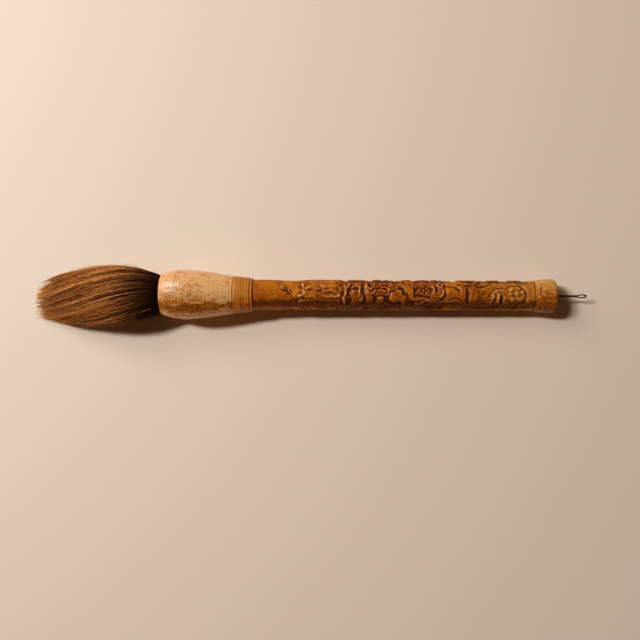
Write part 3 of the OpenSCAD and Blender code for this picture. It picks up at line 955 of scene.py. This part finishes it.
def carve_clouds(relief):
    """A bank of clouds with a dark edge, and small rings below it."""
    relief.mound(134.6, 0.2, 4.4, 4.8, 0.56, 0.0, 2.2, 0.2, 0.12)
    for u, v, r in ((132.4, 3.2, 1.5), (135.6, 3.6, 1.7), (132.0, 0.4, 1.5), (135.0, 0.6, 1.8),
                    (137.4, 1.4, 1.4), (133.0, -2.2, 1.6), (136.2, -2.0, 1.7)):
        relief.mound(u, v, r, r * 0.85, 0.76, 0.3, 2.0, 0.5, 0.20)
    relief.ridge(curl(135.0, 0.8, 1.1, 60, -1.0, 0.35), 0.5, 0.82, trench=0.14)
    relief.cut(rounded((137.8, 4.6), (139.4, 2.4), (140.2, -0.4), (139.9, -2.6), (138.6, -4.6)),
               1.1, 0.8, (0.7, 1.0))
    relief.cut(rounded((136.6, -3.8), (135.6, -6.0), (135.8, -8.4)), 1.1, 0.6)
    for u, v, r in ((127.6, -6.4, 1.2), (130.6, -5.6, 1.3), (133.2, -6.4, 1.2),
                    (138.4, -6.4, 1.1), (141.0, -6.2, 1.0)):
        relief.mound(u, v, r, r * 0.9, 0.62)
        relief.hollow(u, v, 0.4, 0.35, 0.1, 2.0)
    relief.cut(wavy((124.6, -7.6), (131.6, -8.0), 0.4, 2), 0.8, 0.4)
    relief.ridge(wavy((112.0, -9.3), (140.0, -9.6), 0.4, 6), 1.0, 0.62)
    relief.swell(142.6, 1.0, 1.4, 4.0, 0.2)
    relief.hollow(142.0, 8.4, 0.8, 0.6, 0.3, 2.0)


def carve_top_edge(relief):
    """Bumps and dips along the far edge of the side that lies uppermost."""
    for u, length, level in ((36.0, 10.5, 0.75), (53.0, 4.6, 0.72), (63.4, 2.6, 0.8),
                             (68.4, 1.6, 0.7), (78.6, 2.6, 0.8), (87.0, 3.6, 0.75),
                             (93.3, 1.9, 0.85), (110.0, 6.0, 0.7), (123.6, 3.6, 0.78),
                             (135.2, 4.0, 0.8)):
        relief.mound(u, 11.4, length, 2.2, level, 0.0, 2.6, 0.15)
    for u in (32.0, 40.0, 52.0, 86.0, 110.0, 124.0, 135.0):
        relief.cut(wavy((u - 2.0, 10.4), (u + 2.2, 12.6), 0.4), 0.5, 0.25)


def carve_round(relief, around):
    """The same kinds of motif over the rest of the tube, one cell after another."""
    random = np.random.default_rng(21)
    cell_u, cell_v = 7.6, 7.2
    for row, v in enumerate(np.arange(14.6, around - 11.0, cell_v)):
        for k, u in enumerate(np.arange(27.0 + 3.4 * (row % 2), 137.0, cell_u)):
            du, dv, tilt = random.uniform((-0.9, -0.8, -0.5), (0.9, 0.8, 0.5))
            way = 1 if random.random() < 0.5 else -1
            kind = (k + 2 * row) % 4
            if kind == 0:
                cloud(relief, u + du, v + dv, 2.1, way)
            elif kind == 1:
                rock(relief, u + du, v + dv, 2.7, tilt)
            elif kind == 2:
                branch(relief, wavy((u - 4.2, v - 1.6 * way + dv), (u + 4.2, v + 1.6 * way + dv),
                                    1.2 * way, 1.5, 9))
                pine(relief, u + 2.2, v + 2.0 * way + dv, 1.8, way * 0.9)
            else:
                pine(relief, u + du - 1.6, v + dv, 2.3, tilt + 1.2)
                relief.ridge(curl(u + du + 2.2, v + dv, 1.8, 90, 1.2 * way, 0.3), 0.75, 0.76)


def blurred(field, times):
    """The field, smoothed; columns wrap round."""
    for _ in range(times):
        field = (field + np.roll(field, 1, 1) + np.roll(field, -1, 1)) / 3
        padded = np.vstack([field[:1], field, field[-1:]])
        field = (padded[:-2] + padded[1:-1] + padded[2:]) / 3
    return field


def carve_tube(length):
    """The tube's relief, its heights, and how carved each place is, from 0 to 1."""
    relief = Relief(length, TUBE_R - 0.35, 0.2, COLUMNS)
    u, around = relief.u[:, None], COLUMNS * relief.step
    relief.height += 0.30 + 0.10 * relief.noise(5.5, 41)
    carve_round(relief, around)
    carve_top_edge(relief)
    relief.height *= smooth((u - 21.0) / 4.0)
    for carve in (carve_neck_and_folds, carve_trunks, carve_scrolls, carve_gourd_and_branch,
                  carve_panel, carve_curls, carve_leaves_and_knob, carve_clouds):
        carve(relief)
    busy = sum(smooth((u - a) / 3.0) * smooth((b - u) / 3.0)
               for a, b in ((43.0, 79.0), (80.5, 100.0), (106.0, CARVED_TO)))
    shown_from, shown_arc = 10.0, 21.0
    turned_away = (np.arange(COLUMNS) * relief.step + shown_from) % around > shown_arc
    all_over = smooth((u - CARVED_FROM) / 4.0) * smooth((CARVED_TO - u) / 3.0)
    busy = np.where(turned_away, all_over, busy)
    carved = 0.25 * smooth((u - 22.0) / 4.0) + 0.75 * busy
    # tool marks, deeper towards the end band
    chatter = 0.7 - np.abs(relief.noise(2.0, 51)) + 0.5 * (0.7 - np.abs(relief.noise(1.1, 52)))
    rough = 0.085 + 0.055 * smooth((u - 108.0) / 8.0)
    height = relief.height + rough * chatter * carved
    return relief, blurred(np.clip(height, -0.80, 0.82), 3), carved


def tube_radii(relief, height, length):
    """The carving's radii between a full plain neck and a full end with a fine line."""
    u = relief.u[:, None]
    fade_end = smooth((length - 1.8 - u) / 5.0)
    neck = 1 - smooth((u - 4.0) / 19.0)
    step_up = smooth((u - 24.6) / 1.0)
    ground = GROUND_R + 0.62 * neck + 0.10 * (1 - step_up) * (1 - neck)
    ground = ground + 0.42 * (1 - fade_end)
    ground = ground - 0.30 * np.exp(-((u - length + 0.55) / 0.32) ** 2)
    ground = ground + 0.16 * np.exp(-((u - length + 1.5) / 0.35) ** 2)
    radii = ground + height * np.minimum(fade_end, smooth((u - NECK_LEN) / 0.6))
    return np.minimum(radii + 0.012 * relief.noise(2.0, 61), TUBE_R + 0.02)


def tube_marks(u, radii, carved, angle, length):
    """Dirt and painted shade in the hollows, wear and painted highlight on the crests, painted
    shade low on the sides, and a paler end.
    """
    # how far each place lies below its smoothed neighbours: dirt, and painted shade in recesses
    close = np.clip((blurred(radii, 6) - radii - 0.01) / 0.13, 0, 1)
    wide = np.clip((blurred(radii, 30) - radii - 0.01) / 0.25, 0, 1)
    dirt_and_shade = blurred(np.maximum(0.8 * close, wide), 1)
    folds = smooth((u - CARVED_FROM) / 3.0) * smooth((44.0 - u) / 3.0)
    dirt_and_shade = dirt_and_shade * (1 - 0.25 * folds) * (1 - 0.30 * smooth((u - 98.0) / 30.0))
    # raised above its smoothed neighbours: wear, and painted highlight on the crests
    wear_and_highlight = np.clip((radii - blurred(radii, 18) - 0.03) / 0.24, 0, 1)
    wear_and_highlight = wear_and_highlight * smooth((radii - GROUND_R - 0.2) / 0.3)
    turn = half_turn(np.degrees(angle))
    # a darker band near the far upper edge, added to the painted shade mark
    far_edge = 0.75 * np.exp(-((turn - 66.0) / 15.0) ** 2)
    stain_and_shade = (painted_shade_at(turn, *SIDE_SHADE) * (1 - carved)
             + np.maximum(painted_shade_at(turn, *CARVED_SHADE), far_edge) * carved)
    return {"dirt_and_shade": dirt_and_shade, "wear_and_highlight": wear_and_highlight, "carved": carved, "stain_and_shade": stain_and_shade,
            "shade": smooth((u - length + 42.0) / 36.0)}


def make_tube():
    """The handle tube: a plain neck, then carving all round, over a hollow bore."""
    length = BAND_AT - TUBE_AT
    relief, height, carved = carve_tube(length)
    radii = tube_radii(relief, height, length)
    u = relief.u[:, None]
    # columns run from the top of the tube towards +side
    angle = np.arange(COLUMNS) * 2 * math.pi / COLUMNS
    outer = np.stack([TUBE_AT + u + 0 * radii, radii * np.sin(angle), radii * np.cos(angle)], 2)
    bore = np.full((2, COLUMNS), BORE_R)
    ends = np.array([[TUBE_AT + length], [TUBE_AT]])
    inner = np.stack([ends + 0 * bore, bore * np.sin(angle), bore * np.cos(angle)], 2)
    points = np.concatenate([outer, inner]).reshape(-1, 3)
    faces = [face[::-1] for face in grid_faces(len(relief.u) + 2, COLUMNS, wrap_rows=True)]
    marks = {name: np.append((field + 0 * radii).ravel(), np.zeros(bore.size))
             for name, field in tube_marks(u, radii, carved, angle, length).items()}
    piece = mesh_piece("carved_tube", points, faces, HONEY_BONE, marks)
    sharpen(piece, 60)
    return piece


# --- the hair ------------------------------------------------------------------------

ROOT_R = SOCKET_R - 0.1
BELLY_R = 15.0
BELLY_AT = 26.0
TIP_AT = HAIR_LEN + 0.4
TIP_TOP = 3.6
FLOOR_GAP = 0.35
TWIST = 0.85
SEGMENTS = 9
HAIR_FROM = -1.5


def axis_height(d):
    """Height of the brush's axis over the floor, at a distance from the ferrule."""
    return MOUTH[2] / MM - d * AXIS[2]


def girth(d):
    """Half width of the hair between the ferrule and its widest place."""
    share = np.clip(d / BELLY_AT, 0, 1) ** 0.78
    return ROOT_R + (BELLY_R - ROOT_R) * np.sin(np.pi / 2 * share)


def spread(d):
    """Half width of the tuft as it lies."""
    return girth(d) * (1 - 0.18 * np.clip((d - BELLY_AT) / 32.0, 0, 1.3) ** 2)


def lean(d):
    """How far the tuft leans to -side."""
    return -2.2 * np.clip((d - 14.0) / 44.0, 0, 1.3) ** 1.3


def top_of(d):
    """Upper surface over the axis: the soft tip droops to the floor."""
    fall = np.clip((d - 20.0) / (TIP_AT - 20.0), 0, 1) ** 1.55
    tip_top = TIP_TOP - axis_height(TIP_AT)
    return girth(d) * (1 - fall) + tip_top * fall


def bottom_of(d):
    """Lower surface over the axis: flattened where it rests on the floor."""
    return -np.minimum(girth(d), axis_height(d) - FLOOR_GAP)


def end_of(side):
    """Where hairs end, by their place from side to side: a blunt point off the middle."""
    off = (side + 5.5) / np.where(side > -5.5, 12.8, 9.7)
    return TIP_AT - np.where(side > -5.5, 6.5, 13.5) * np.abs(off) ** 2.3


def hair_points(d, rho, theta):
    """Brush coordinates of hair at distance d, radius share rho and angle theta."""
    turned = theta + TWIST * (np.clip(d, 0, None) / 60.0) ** 1.25
    top, bottom = top_of(d), bottom_of(d)
    side = lean(d) + spread(d) * rho * np.cos(turned)
    up = (top + bottom) / 2 + (top - bottom) / 2 * rho * np.sin(turned)
    return np.stack([-d, side, up], -1)


def over_floor(points, lowest):
    """Keeps brush-coordinate points over the floor by at least lowest mm."""
    height = axis_height(-points[..., 0]) + points[..., 2] * UP[2]
    lifted = points.copy()
    lifted[..., 2] += np.maximum(0, lowest - height) / UP[2]
    return lifted


def tubes(path, width):
    """Thin three-sided tubes along many paths: (hairs, rings, 3) and their half widths."""
    along = np.gradient(path, axis=1)
    along /= np.linalg.norm(along, axis=2, keepdims=True)
    a = np.cross(along, [0.0, 0.25, 0.97])
    a /= np.linalg.norm(a, axis=2, keepdims=True)
    b = np.cross(along, a)
    angles = np.array([0, 2, 4]) * math.pi / 3
    offset = (np.cos(angles)[:, None] * a[:, :, None, :]
              + np.sin(angles)[:, None] * b[:, :, None, :])
    return path[:, :, None, :] + width[:, :, None, None] * offset


def tube_faces(hairs, rings):
    """Quads and end caps of many three-sided tubes."""
    first = np.arange(hairs)[:, None, None] * rings * 3
    ring = np.arange(rings - 1)[None, :, None] * 3
    side = np.arange(3)[None, None, :]
    turn = (side + 1) % 3
    quads = np.stack([first + ring + side, first + ring + 3 + side, first + ring + 3 + turn,
                      first + ring + turn], -1).reshape(-1, 4).tolist()
    start = (np.arange(hairs) * rings * 3)[:, None] + np.array([0, 1, 2])
    end = (np.arange(hairs) * rings * 3 + (rings - 1) * 3)[:, None] + np.array([2, 1, 0])
    return quads + start.tolist() + end.tolist()


BUNCH = 4


def locks(count, seed):
    """Guides that hairs gather to: an angle, a radius, a length change, a tone, a wave.
    Every few guides form a bunch that draws together towards its point."""
    random = np.random.default_rng(seed)
    theta = (np.arange(count) + random.uniform(-0.45, 0.45, count)) * 2 * math.pi / count
    group = (np.arange(count) + random.integers(0, 2, count)) // BUNCH
    groups = group.max() + 1
    centre = np.array([theta[group == k].mean() if (group == k).any() else 0.0
                       for k in range(groups)])
    off = np.abs(np.arange(count) - (group + 0.5) * BUNCH) / BUNCH
    return {
        "theta": theta,
        "rho": random.uniform(0.86, 1.0, count),
        "length": (random.normal(-1.2, 2.2, groups)[group] - np.abs(random.normal(0, 1.2, count))
                   - 4.0 * off),
        "tone": random.uniform(-0.28, 0.28, count) + random.uniform(-0.20, 0.20, groups)[group],
        "wave": random.normal(0, 0.05, count),
        "phase": random.uniform(0, 2 * math.pi, count),
        "draw": centre[group] - theta,
    }


END_LIMIT, END_SOFTNESS = TIP_AT + 3.0, 1.4


def hair_ends(random, side_at_end, lock_length, off_guide, loose, short):
    """How far out each hair ends: the tuft's outline, its lock's own length, some that are
    much longer or shorter, and a soft limit. Hairs between two locks end sooner."""
    count = len(side_at_end)
    end = (end_of(side_at_end) + lock_length + random.exponential(2.2, count)
           - random.exponential(1.8, count) - 2.0 * np.clip(off_guide, 0, 1) + 0.6 - short)
    end = END_LIMIT - END_SOFTNESS * np.logaddexp(0, (END_LIMIT - end) / END_SOFTNESS)
    return np.where(loose, end * random.uniform(0.78, 1.02, count), end)


def hair_piece(name, count, seed, rho_low, rho_high, guides, gather, width, material,
               short=0.0):
    """A coat of hairs whose radii lie between two shares of the tuft's girth.
    gather is how closely they follow their locks, and short is how much earlier they end."""
    random = np.random.default_rng(seed)
    theta = random.uniform(0, 2 * math.pi, count)
    rho = np.sqrt(random.uniform(rho_low ** 2, rho_high ** 2, count))
    number = len(guides["theta"])
    guide = (np.round(theta / (2 * math.pi) * number).astype(int)
             + random.integers(0, 2, count)) % number
    loose = random.random(count) < 0.12
    t = np.linspace(0, 1, SEGMENTS + 1)[None, :]
    pull = gather * smooth((t - 0.10) / 0.8) * np.where(loose, 0.25, 1.0)[:, None]
    to_guide = guides["theta"][guide] - theta
    to_guide -= np.round(to_guide / (2 * math.pi)) * 2 * math.pi
    phase = guides["phase"][guide][:, None]
    wave = guides["wave"][guide][:, None] * (np.sin(t * 3.4 + phase) - np.sin(phase))
    draw = guides["draw"][guide][:, None] * 0.62 * smooth((t - 0.45) / 0.55)
    draw = draw * np.where(loose, 0.2, 1.0)[:, None]
    angle = theta[:, None] + to_guide[:, None] * pull + wave + draw
    off_guide = np.abs(to_guide) * number / (2 * math.pi)
    angle = angle + random.normal(0, 0.025, (count, 1)) * t
    kink = random.uniform(0, 2 * math.pi, (count, 1))
    angle = angle + random.normal(0, 0.012, (count, 1)) * np.sin(t * 9.0 + kink)
    share = rho[:, None] + (guides["rho"][guide] * rho_high - rho)[:, None] * pull * 0.85
    side_at_end = lean(60.0) + spread(60.0) * share[:, -1] * np.cos(angle[:, -1] + TWIST)
    end = hair_ends(random, side_at_end, guides["length"][guide], off_guide, loose, short)
    d = HAIR_FROM + (end - HAIR_FROM)[:, None] * t
    path = hair_points(d, share, angle)
    path[..., 1:] += random.normal(0, 0.3, (count, 1, 2)) * t[..., None] ** 2
    path = over_floor(path, FLOOR_GAP + random.uniform(0, 1.0, (count, 1)))
    thin = width * random.uniform(0.7, 1.3, (count, 1)) * (1 - 0.78 * smooth((t - 0.6) / 0.4))
    sunk = (rho_high - share[:, -1]) / max(rho_high - rho_low, 0.01)
    # hairs deeper in the coat and between locks get a darker tone: painted shade
    tone = (0.6 + guides["tone"][guide] + random.normal(0, 0.36, count)
            + 0.32 - 0.50 * np.clip(off_guide, 0, 1) - 0.85 * sunk)
    marks = {"tone": np.repeat(tone, (SEGMENTS + 1) * 3),
             "along": np.repeat(np.clip(d / TIP_AT, 0, 1).ravel(), 3)}
    return mesh_piece(name, tubes(path, thin), tube_faces(count, SEGMENTS + 1), material, marks)


def packed_hair():
    """The closely packed hair under the loose coats: a closed, finely ribbed body."""
    sides, rows = 240, 60
    share = 0.76
    end = TIP_AT * share
    random = np.random.default_rng(2)
    d = np.linspace(HAIR_FROM, end, rows)
    theta = np.arange(sides) * 2 * math.pi / sides
    ribs = random.normal(0, 1, sides)
    ribs = (ribs + 0.5 * np.roll(ribs, 1)) * 0.014
    close = np.sqrt(np.clip(1 - ((d - HAIR_FROM) / (end - HAIR_FROM)) ** 6, 0.02, 1))
    rho = share * close[:, None] * (1 + ribs[None, :] * smooth((d[:, None] + 4) / 14))
    points = hair_points(d[:, None] + 0 * rho, rho, theta[None, :] + 0 * rho)
    points = over_floor(points, FLOOR_GAP)
    poles = points[[0, -1]].mean(1)
    flat = np.vstack([points.reshape(-1, 3), poles])
    faces = [face[::-1] for face in grid_faces(rows, sides) + end_fans(rows, sides)]
    tone = np.append(np.tile(0.15 + ribs * 12, rows), [0.2, 0.2])
    along = np.append(np.repeat(np.clip(d / TIP_AT, 0, 1), sides), [0, 1])
    return mesh_piece("packed_hair", flat, faces, SHADED_INNER_HAIR, {"tone": tone, "along": along})


def stray_hairs():
    """Hairs that stand a little off the tuft, and one that curls out near the ferrule."""
    random = np.random.default_rng(77)
    count, rings = 380, 12
    t = np.linspace(0, 1, rings)[None, :]
    theta = random.uniform(0, 2 * math.pi, (count, 1))
    start = random.uniform(8, 50, (count, 1))
    length = random.uniform(9, 24, (count, 1))
    d = np.minimum(start + length * t, TIP_AT + 0.8)
    lift = random.uniform(0.01, 0.13, (count, 1)) * np.sin(t * math.pi * 0.7)
    angle = theta + random.normal(0, 0.10, (count, 1)) * t ** 2
    side = lean(d) + spread(d) * np.cos(angle)
    fade = np.clip((end_of(side) + 2.5 - d) / 14.0, 0.15, 1) ** 0.35
    path = over_floor(hair_points(d, (0.99 + lift) * fade, angle), FLOOR_GAP)
    thin = 0.07 * (1 - 0.6 * t) + 0 * path[..., 0]
    curl_t = np.linspace(0, 1, rings)
    curl_path = np.stack([-3.0 - 17.0 * curl_t,
                          -7.6 - 6.5 * curl_t ** 0.8 + 0.9 * np.sin(curl_t * 6.0),
                          9.6 - 3.5 * curl_t + 0.8 * np.cos(curl_t * 5.0)], 1)
    path = np.concatenate([path, curl_path[None]])
    thin = np.concatenate([thin, np.full((1, rings), 0.07)])
    marks = {"tone": np.repeat(random.uniform(0.45, 1.0, count + 1), rings * 3),
             "along": np.append(np.repeat(np.clip(d / TIP_AT, 0, 1).ravel(), 3),
                                np.full(rings * 3, 0.6))}
    return mesh_piece("stray_hairs", tubes(path, thin), tube_faces(count + 1, rings), HAIR, marks)


def bend_with_tuft(piece):
    """Bakes the piece's placement into its mesh."""
    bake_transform(piece)


def make_tuft():
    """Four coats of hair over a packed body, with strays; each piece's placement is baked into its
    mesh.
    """
    outer, belly, core = locks(112, 4), locks(80, 6), locks(40, 8)
    coats = [hair_piece("cover_hair", 5200, 11, 0.82, 1.0, outer, 0.93, 0.085, HAIR),
             hair_piece("outer_hair", 4600, 15, 0.74, 0.97, outer, 0.86, 0.09, HAIR),
             hair_piece("belly_hair", 2600, 12, 0.40, 0.78, belly, 0.55, 0.15, SHADED_INNER_HAIR, 3.0),
             hair_piece("core_hair", 1400, 13, 0.0, 0.45, core, 0.45, 0.15, SHADED_INNER_HAIR, 6.0)]
    for piece, node in zip(coats, ("cover_hair", "cover_hair", "belly_hair", "core_hair")):
        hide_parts(node)
    for piece in coats + [packed_hair(), stray_hairs()]:
        bend_with_tuft(piece)


def make_root():
    """The bound roots in the socket, with the thread that ties them."""
    neck_r, neck_from = SOCKET_R - 1.0, 10.6
    outline = [(-0.6, 0), (-0.6, SOCKET_R - 1.2), (0.4, SOCKET_R - 0.15),
               (neck_from - 0.8, SOCKET_R - 0.15), (neck_from, neck_r), (ROOT_FROM, neck_r),
               (ROOT_FROM, 0)]
    outline = outline[:1] + finely(outline[1:-1], 0.5) + outline[-1:]
    root = lathe("hair_root", outline, 120, SHADED_INNER_HAIR, uneven=0.06, seed=4)
    stand_for(root, "handle", "hair_root")
    turns, r = 6, 0.38
    count = turns * 48
    t = np.linspace(0, 1, count)
    angle = t * turns * 2 * math.pi
    path = np.stack([neck_from + r + t * 2 * r * (turns - 0.5), (neck_r + r) * np.cos(angle),
                     (neck_r + r) * np.sin(angle)], 1)
    thread = sweep("binding_thread", path, np.full(count, r), THREAD)
    stand_for(thread, "handle", "binding_thread")


# --- the hanging wire ----------------------------------------------------------------


def sweep(name, path, width, material):
    """A closed tube along a path, with no twist."""
    sides = 10
    along = np.gradient(path, axis=0)
    along /= np.linalg.norm(along, axis=1, keepdims=True)
    normal = np.cross(along[0], [0.3, 0.5, 0.8])
    frames = []
    for direction in along:
        normal = normal - direction * (normal @ direction)
        normal /= np.linalg.norm(normal)
        frames.append((normal, np.cross(direction, normal)))
    angle = np.arange(sides) * 2 * math.pi / sides
    rings = np.array([p + w * (np.cos(angle)[:, None] * a + np.sin(angle)[:, None] * b)
                      for p, w, (a, b) in zip(path, width, frames)])
    count = len(path)
    points = np.vstack([rings.reshape(-1, 3), path[[0, -1]]])
    return mesh_piece(name, points, grid_faces(count, sides) + end_fans(count, sides), material)


def make_wire():
    """One wire folded in two: its legs are twisted together, and the fold is the eye."""
    low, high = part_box("hanging_wire")
    eye_half = (high.y - low.y) / 2 / MM
    wire, twist_r, pitch = 0.31, 0.26, 2.8
    eye_len, overlap = 6.3, 0.4
    twist_end = LOOP_END - eye_len + overlap
    turns = (twist_end - WIRE_FROM) / pitch
    points_per_turn = 26
    s = np.linspace(WIRE_FROM, twist_end, int(turns * points_per_turn))
    phase = (s - twist_end) / pitch * 2 * math.pi
    leg = np.stack([s, twist_r * np.cos(phase), twist_r * np.sin(phase)], 1)
    centre = (twist_end + LOOP_END) / 2
    half = (LOOP_END - twist_end) / 2 - wire
    a = np.linspace(math.pi * 0.93, -math.pi * 0.93, 60)
    narrow = 0.62 + 0.38 * smooth((np.cos(a) + 1) / 1.2)
    eye = np.stack([centre + half * np.cos(a), (eye_half - wire) * np.sin(a) * narrow,
                    0.06 * np.sin(2 * a)], 1)
    back = leg[::-1] * [1, -1, -1]
    path = blurred_path(np.vstack([leg, eye, back]), 2)
    # thinner inside the end band, and a little flattened at the eye
    width = wire * (0.45 + 0.55 * smooth((path[:, 0] - END_AT + 1.5) / 1.0))
    path[:, 1:] *= np.where(path[:, :1] < END_AT, 0.5, 1.0)
    width[len(leg):len(leg) + len(eye)] += 0.05 * smooth((np.cos(a) + 0.3) / 1.3)
    stand_for(sweep("hanging_wire", path, width, WIRE), "loop", "hanging_wire")


def blurred_path(path, times):
    """The path with its corners eased."""
    for _ in range(times):
        path = np.vstack([path[:1], (path[:-2] + path[1:-1] + path[2:]) / 3, path[-1:]])
    return path


# --- the set -------------------------------------------------------------------------


def lamp(name, kind, position, energy, colour, diffuse=True, glossy=True, **form):
    """A lamp that faces the brush; form is its shape and size, or its angle."""
    data = bpy.data.lights.new(name, kind)
    data.energy, data.color = energy, colour
    for key, value in form.items():
        setattr(data, key, value)
    light = bpy.data.objects.new(name, data)
    light.location = position
    light.rotation_euler = (-Vector(position)).to_track_quat("-Z", "Y").to_euler()
    light.visible_diffuse, light.visible_glossy = diffuse, glossy
    bpy.context.scene.collection.objects.link(light)


def make_lamps():
    """A key light from the upper left with a distant lamp for an even floor, a wide soft lamp,
    and one that is only seen in the polish."""
    key_from = (-0.51, 0.21, 0.63)
    lamp("key", "AREA", key_from, 3.0, (1.0, 0.97, 0.92), glossy=False, shape="DISK", size=0.10)
    lamp("key_far", "SUN", key_from, 1.0, (1.0, 0.96, 0.91), angle=0.12)
    lamp("side", "AREA", (-0.62, 0.50, 0.55), 2.8, (1.0, 0.93, 0.84), shape="DISK", size=0.42)
    lamp("sheen", "AREA", (-0.47, 0.50, 0.44), 4.4, (1.0, 0.94, 0.86), diffuse=False,
         shape="DISK", size=0.25)


BACKDROP = (0.56, 0.47, 0.38, 1)
HORIZON = (0.10, (0.66, 0.43, 0.22, 1))
SKY = (0.34, (0.052, 0.026, 0.011, 1))


def make_world():
    """A dim warm sky with a brighter band low round the horizon; the backdrop shows pale."""
    world = bpy.data.worlds.new("world")
    bpy.context.scene.world = world
    world.use_nodes = True
    tree = world.node_tree
    place_node = tree.nodes.new("ShaderNodeTexCoord")
    split = tree.nodes.new("ShaderNodeSeparateXYZ")
    ramp = tree.nodes.new("ShaderNodeValToRGB")
    tree.links.new(place_node.outputs["Generated"], split.inputs["Vector"])
    tree.links.new(split.outputs["Z"], ramp.inputs["Fac"])
    seen = tree.nodes.new("ShaderNodeLightPath")
    mix = tree.nodes.new("ShaderNodeMix")
    mix.data_type = "RGBA"
    tree.links.new(seen.outputs["Is Camera Ray"], mix.inputs[0])
    tree.links.new(ramp.outputs["Color"], mix.inputs[6])
    mix.inputs[7].default_value = BACKDROP
    tree.links.new(mix.outputs[2], tree.nodes["Background"].inputs["Color"])
    low, high = ramp.color_ramp.elements
    low.position, low.color = HORIZON
    high.position, high.color = SKY


FLOOR_R = 1.2
FLOOR_TONES = (0.815, 0.70, 0.60), (0.855, 0.74, 0.635)
TONE_CURVE = (0.02, 0.012), (0.08, 0.060), (0.25, 0.235), (0.6, 0.6)


def make_floor():
    """A plain pale disc."""
    sides = 96
    mesh = bpy.data.meshes.new("floor")
    turn = np.linspace(0, 2 * math.pi, sides + 1)[:-1]
    rim = [(FLOOR_R * math.cos(a), FLOOR_R * math.sin(a), 0) for a in turn]
    mesh.from_pydata(rim, [], [list(range(sides))])
    floor = bpy.data.objects.new("floor", mesh)
    bpy.context.scene.collection.objects.link(floor)
    n = Nodes("floor", 0.9, 0.2)
    speckle = n.noise(1500, 3, 0.6)
    mesh.materials.append(n.finish(n.mix(n.between(speckle, 0.3, 0.7), *FLOOR_TONES)))


def set_tones():
    """Plain colours, with slightly deeper darks."""
    view = bpy.context.scene.view_settings
    view.view_transform = "Standard"
    view.use_curve_mapping = True
    for x, y in TONE_CURVE:
        view.curve_mapping.curves[3].points.new(x, y)
    view.curve_mapping.update()


CAMERA_PAST_MOUTH, CAMERA_SIDE, CAMERA_HEIGHT = 0.08188, -0.01295, 0.3348
CAMERA_ROLL = math.radians(0.2)


def make_camera():
    """Straight down, with the brush a little above the middle of the picture."""
    data = bpy.data.cameras.new("camera")
    data.lens = 34.9
    data.sensor_width = 36.0
    camera = bpy.data.objects.new("camera", data)
    camera.location = (MOUTH[0] + CAMERA_PAST_MOUTH, CAMERA_SIDE, CAMERA_HEIGHT)
    camera.rotation_euler = (0, 0, CAMERA_ROLL)
    bpy.context.scene.collection.objects.link(camera)
    bpy.context.scene.camera = camera


def finish_cad_nodes():
    """Materials for the hidden pieces that keep their CAD shape."""
    for node, material in (("joint_tenon", WOOD), ("end_dowel", WOOD), ("rosin_plug", ROSIN),
                           ("wire_stop", WIRE)):
        mesh = frame["nodes"][node].data
        mesh.materials.clear()
        mesh.materials.append(material)


make_camera()
for solid, solid_node in ((make_bowl(), "ferrule_bowl"), (make_collar(), "collar_ring"),
                          (make_end_band(), "end_cap"), (make_tube(), "carved_tube")):
    stand_for(solid, "handle", solid_node)
make_root()
make_tuft()
make_wire()
finish_cad_nodes()
make_floor()
make_lamps()
make_world()
set_tones()
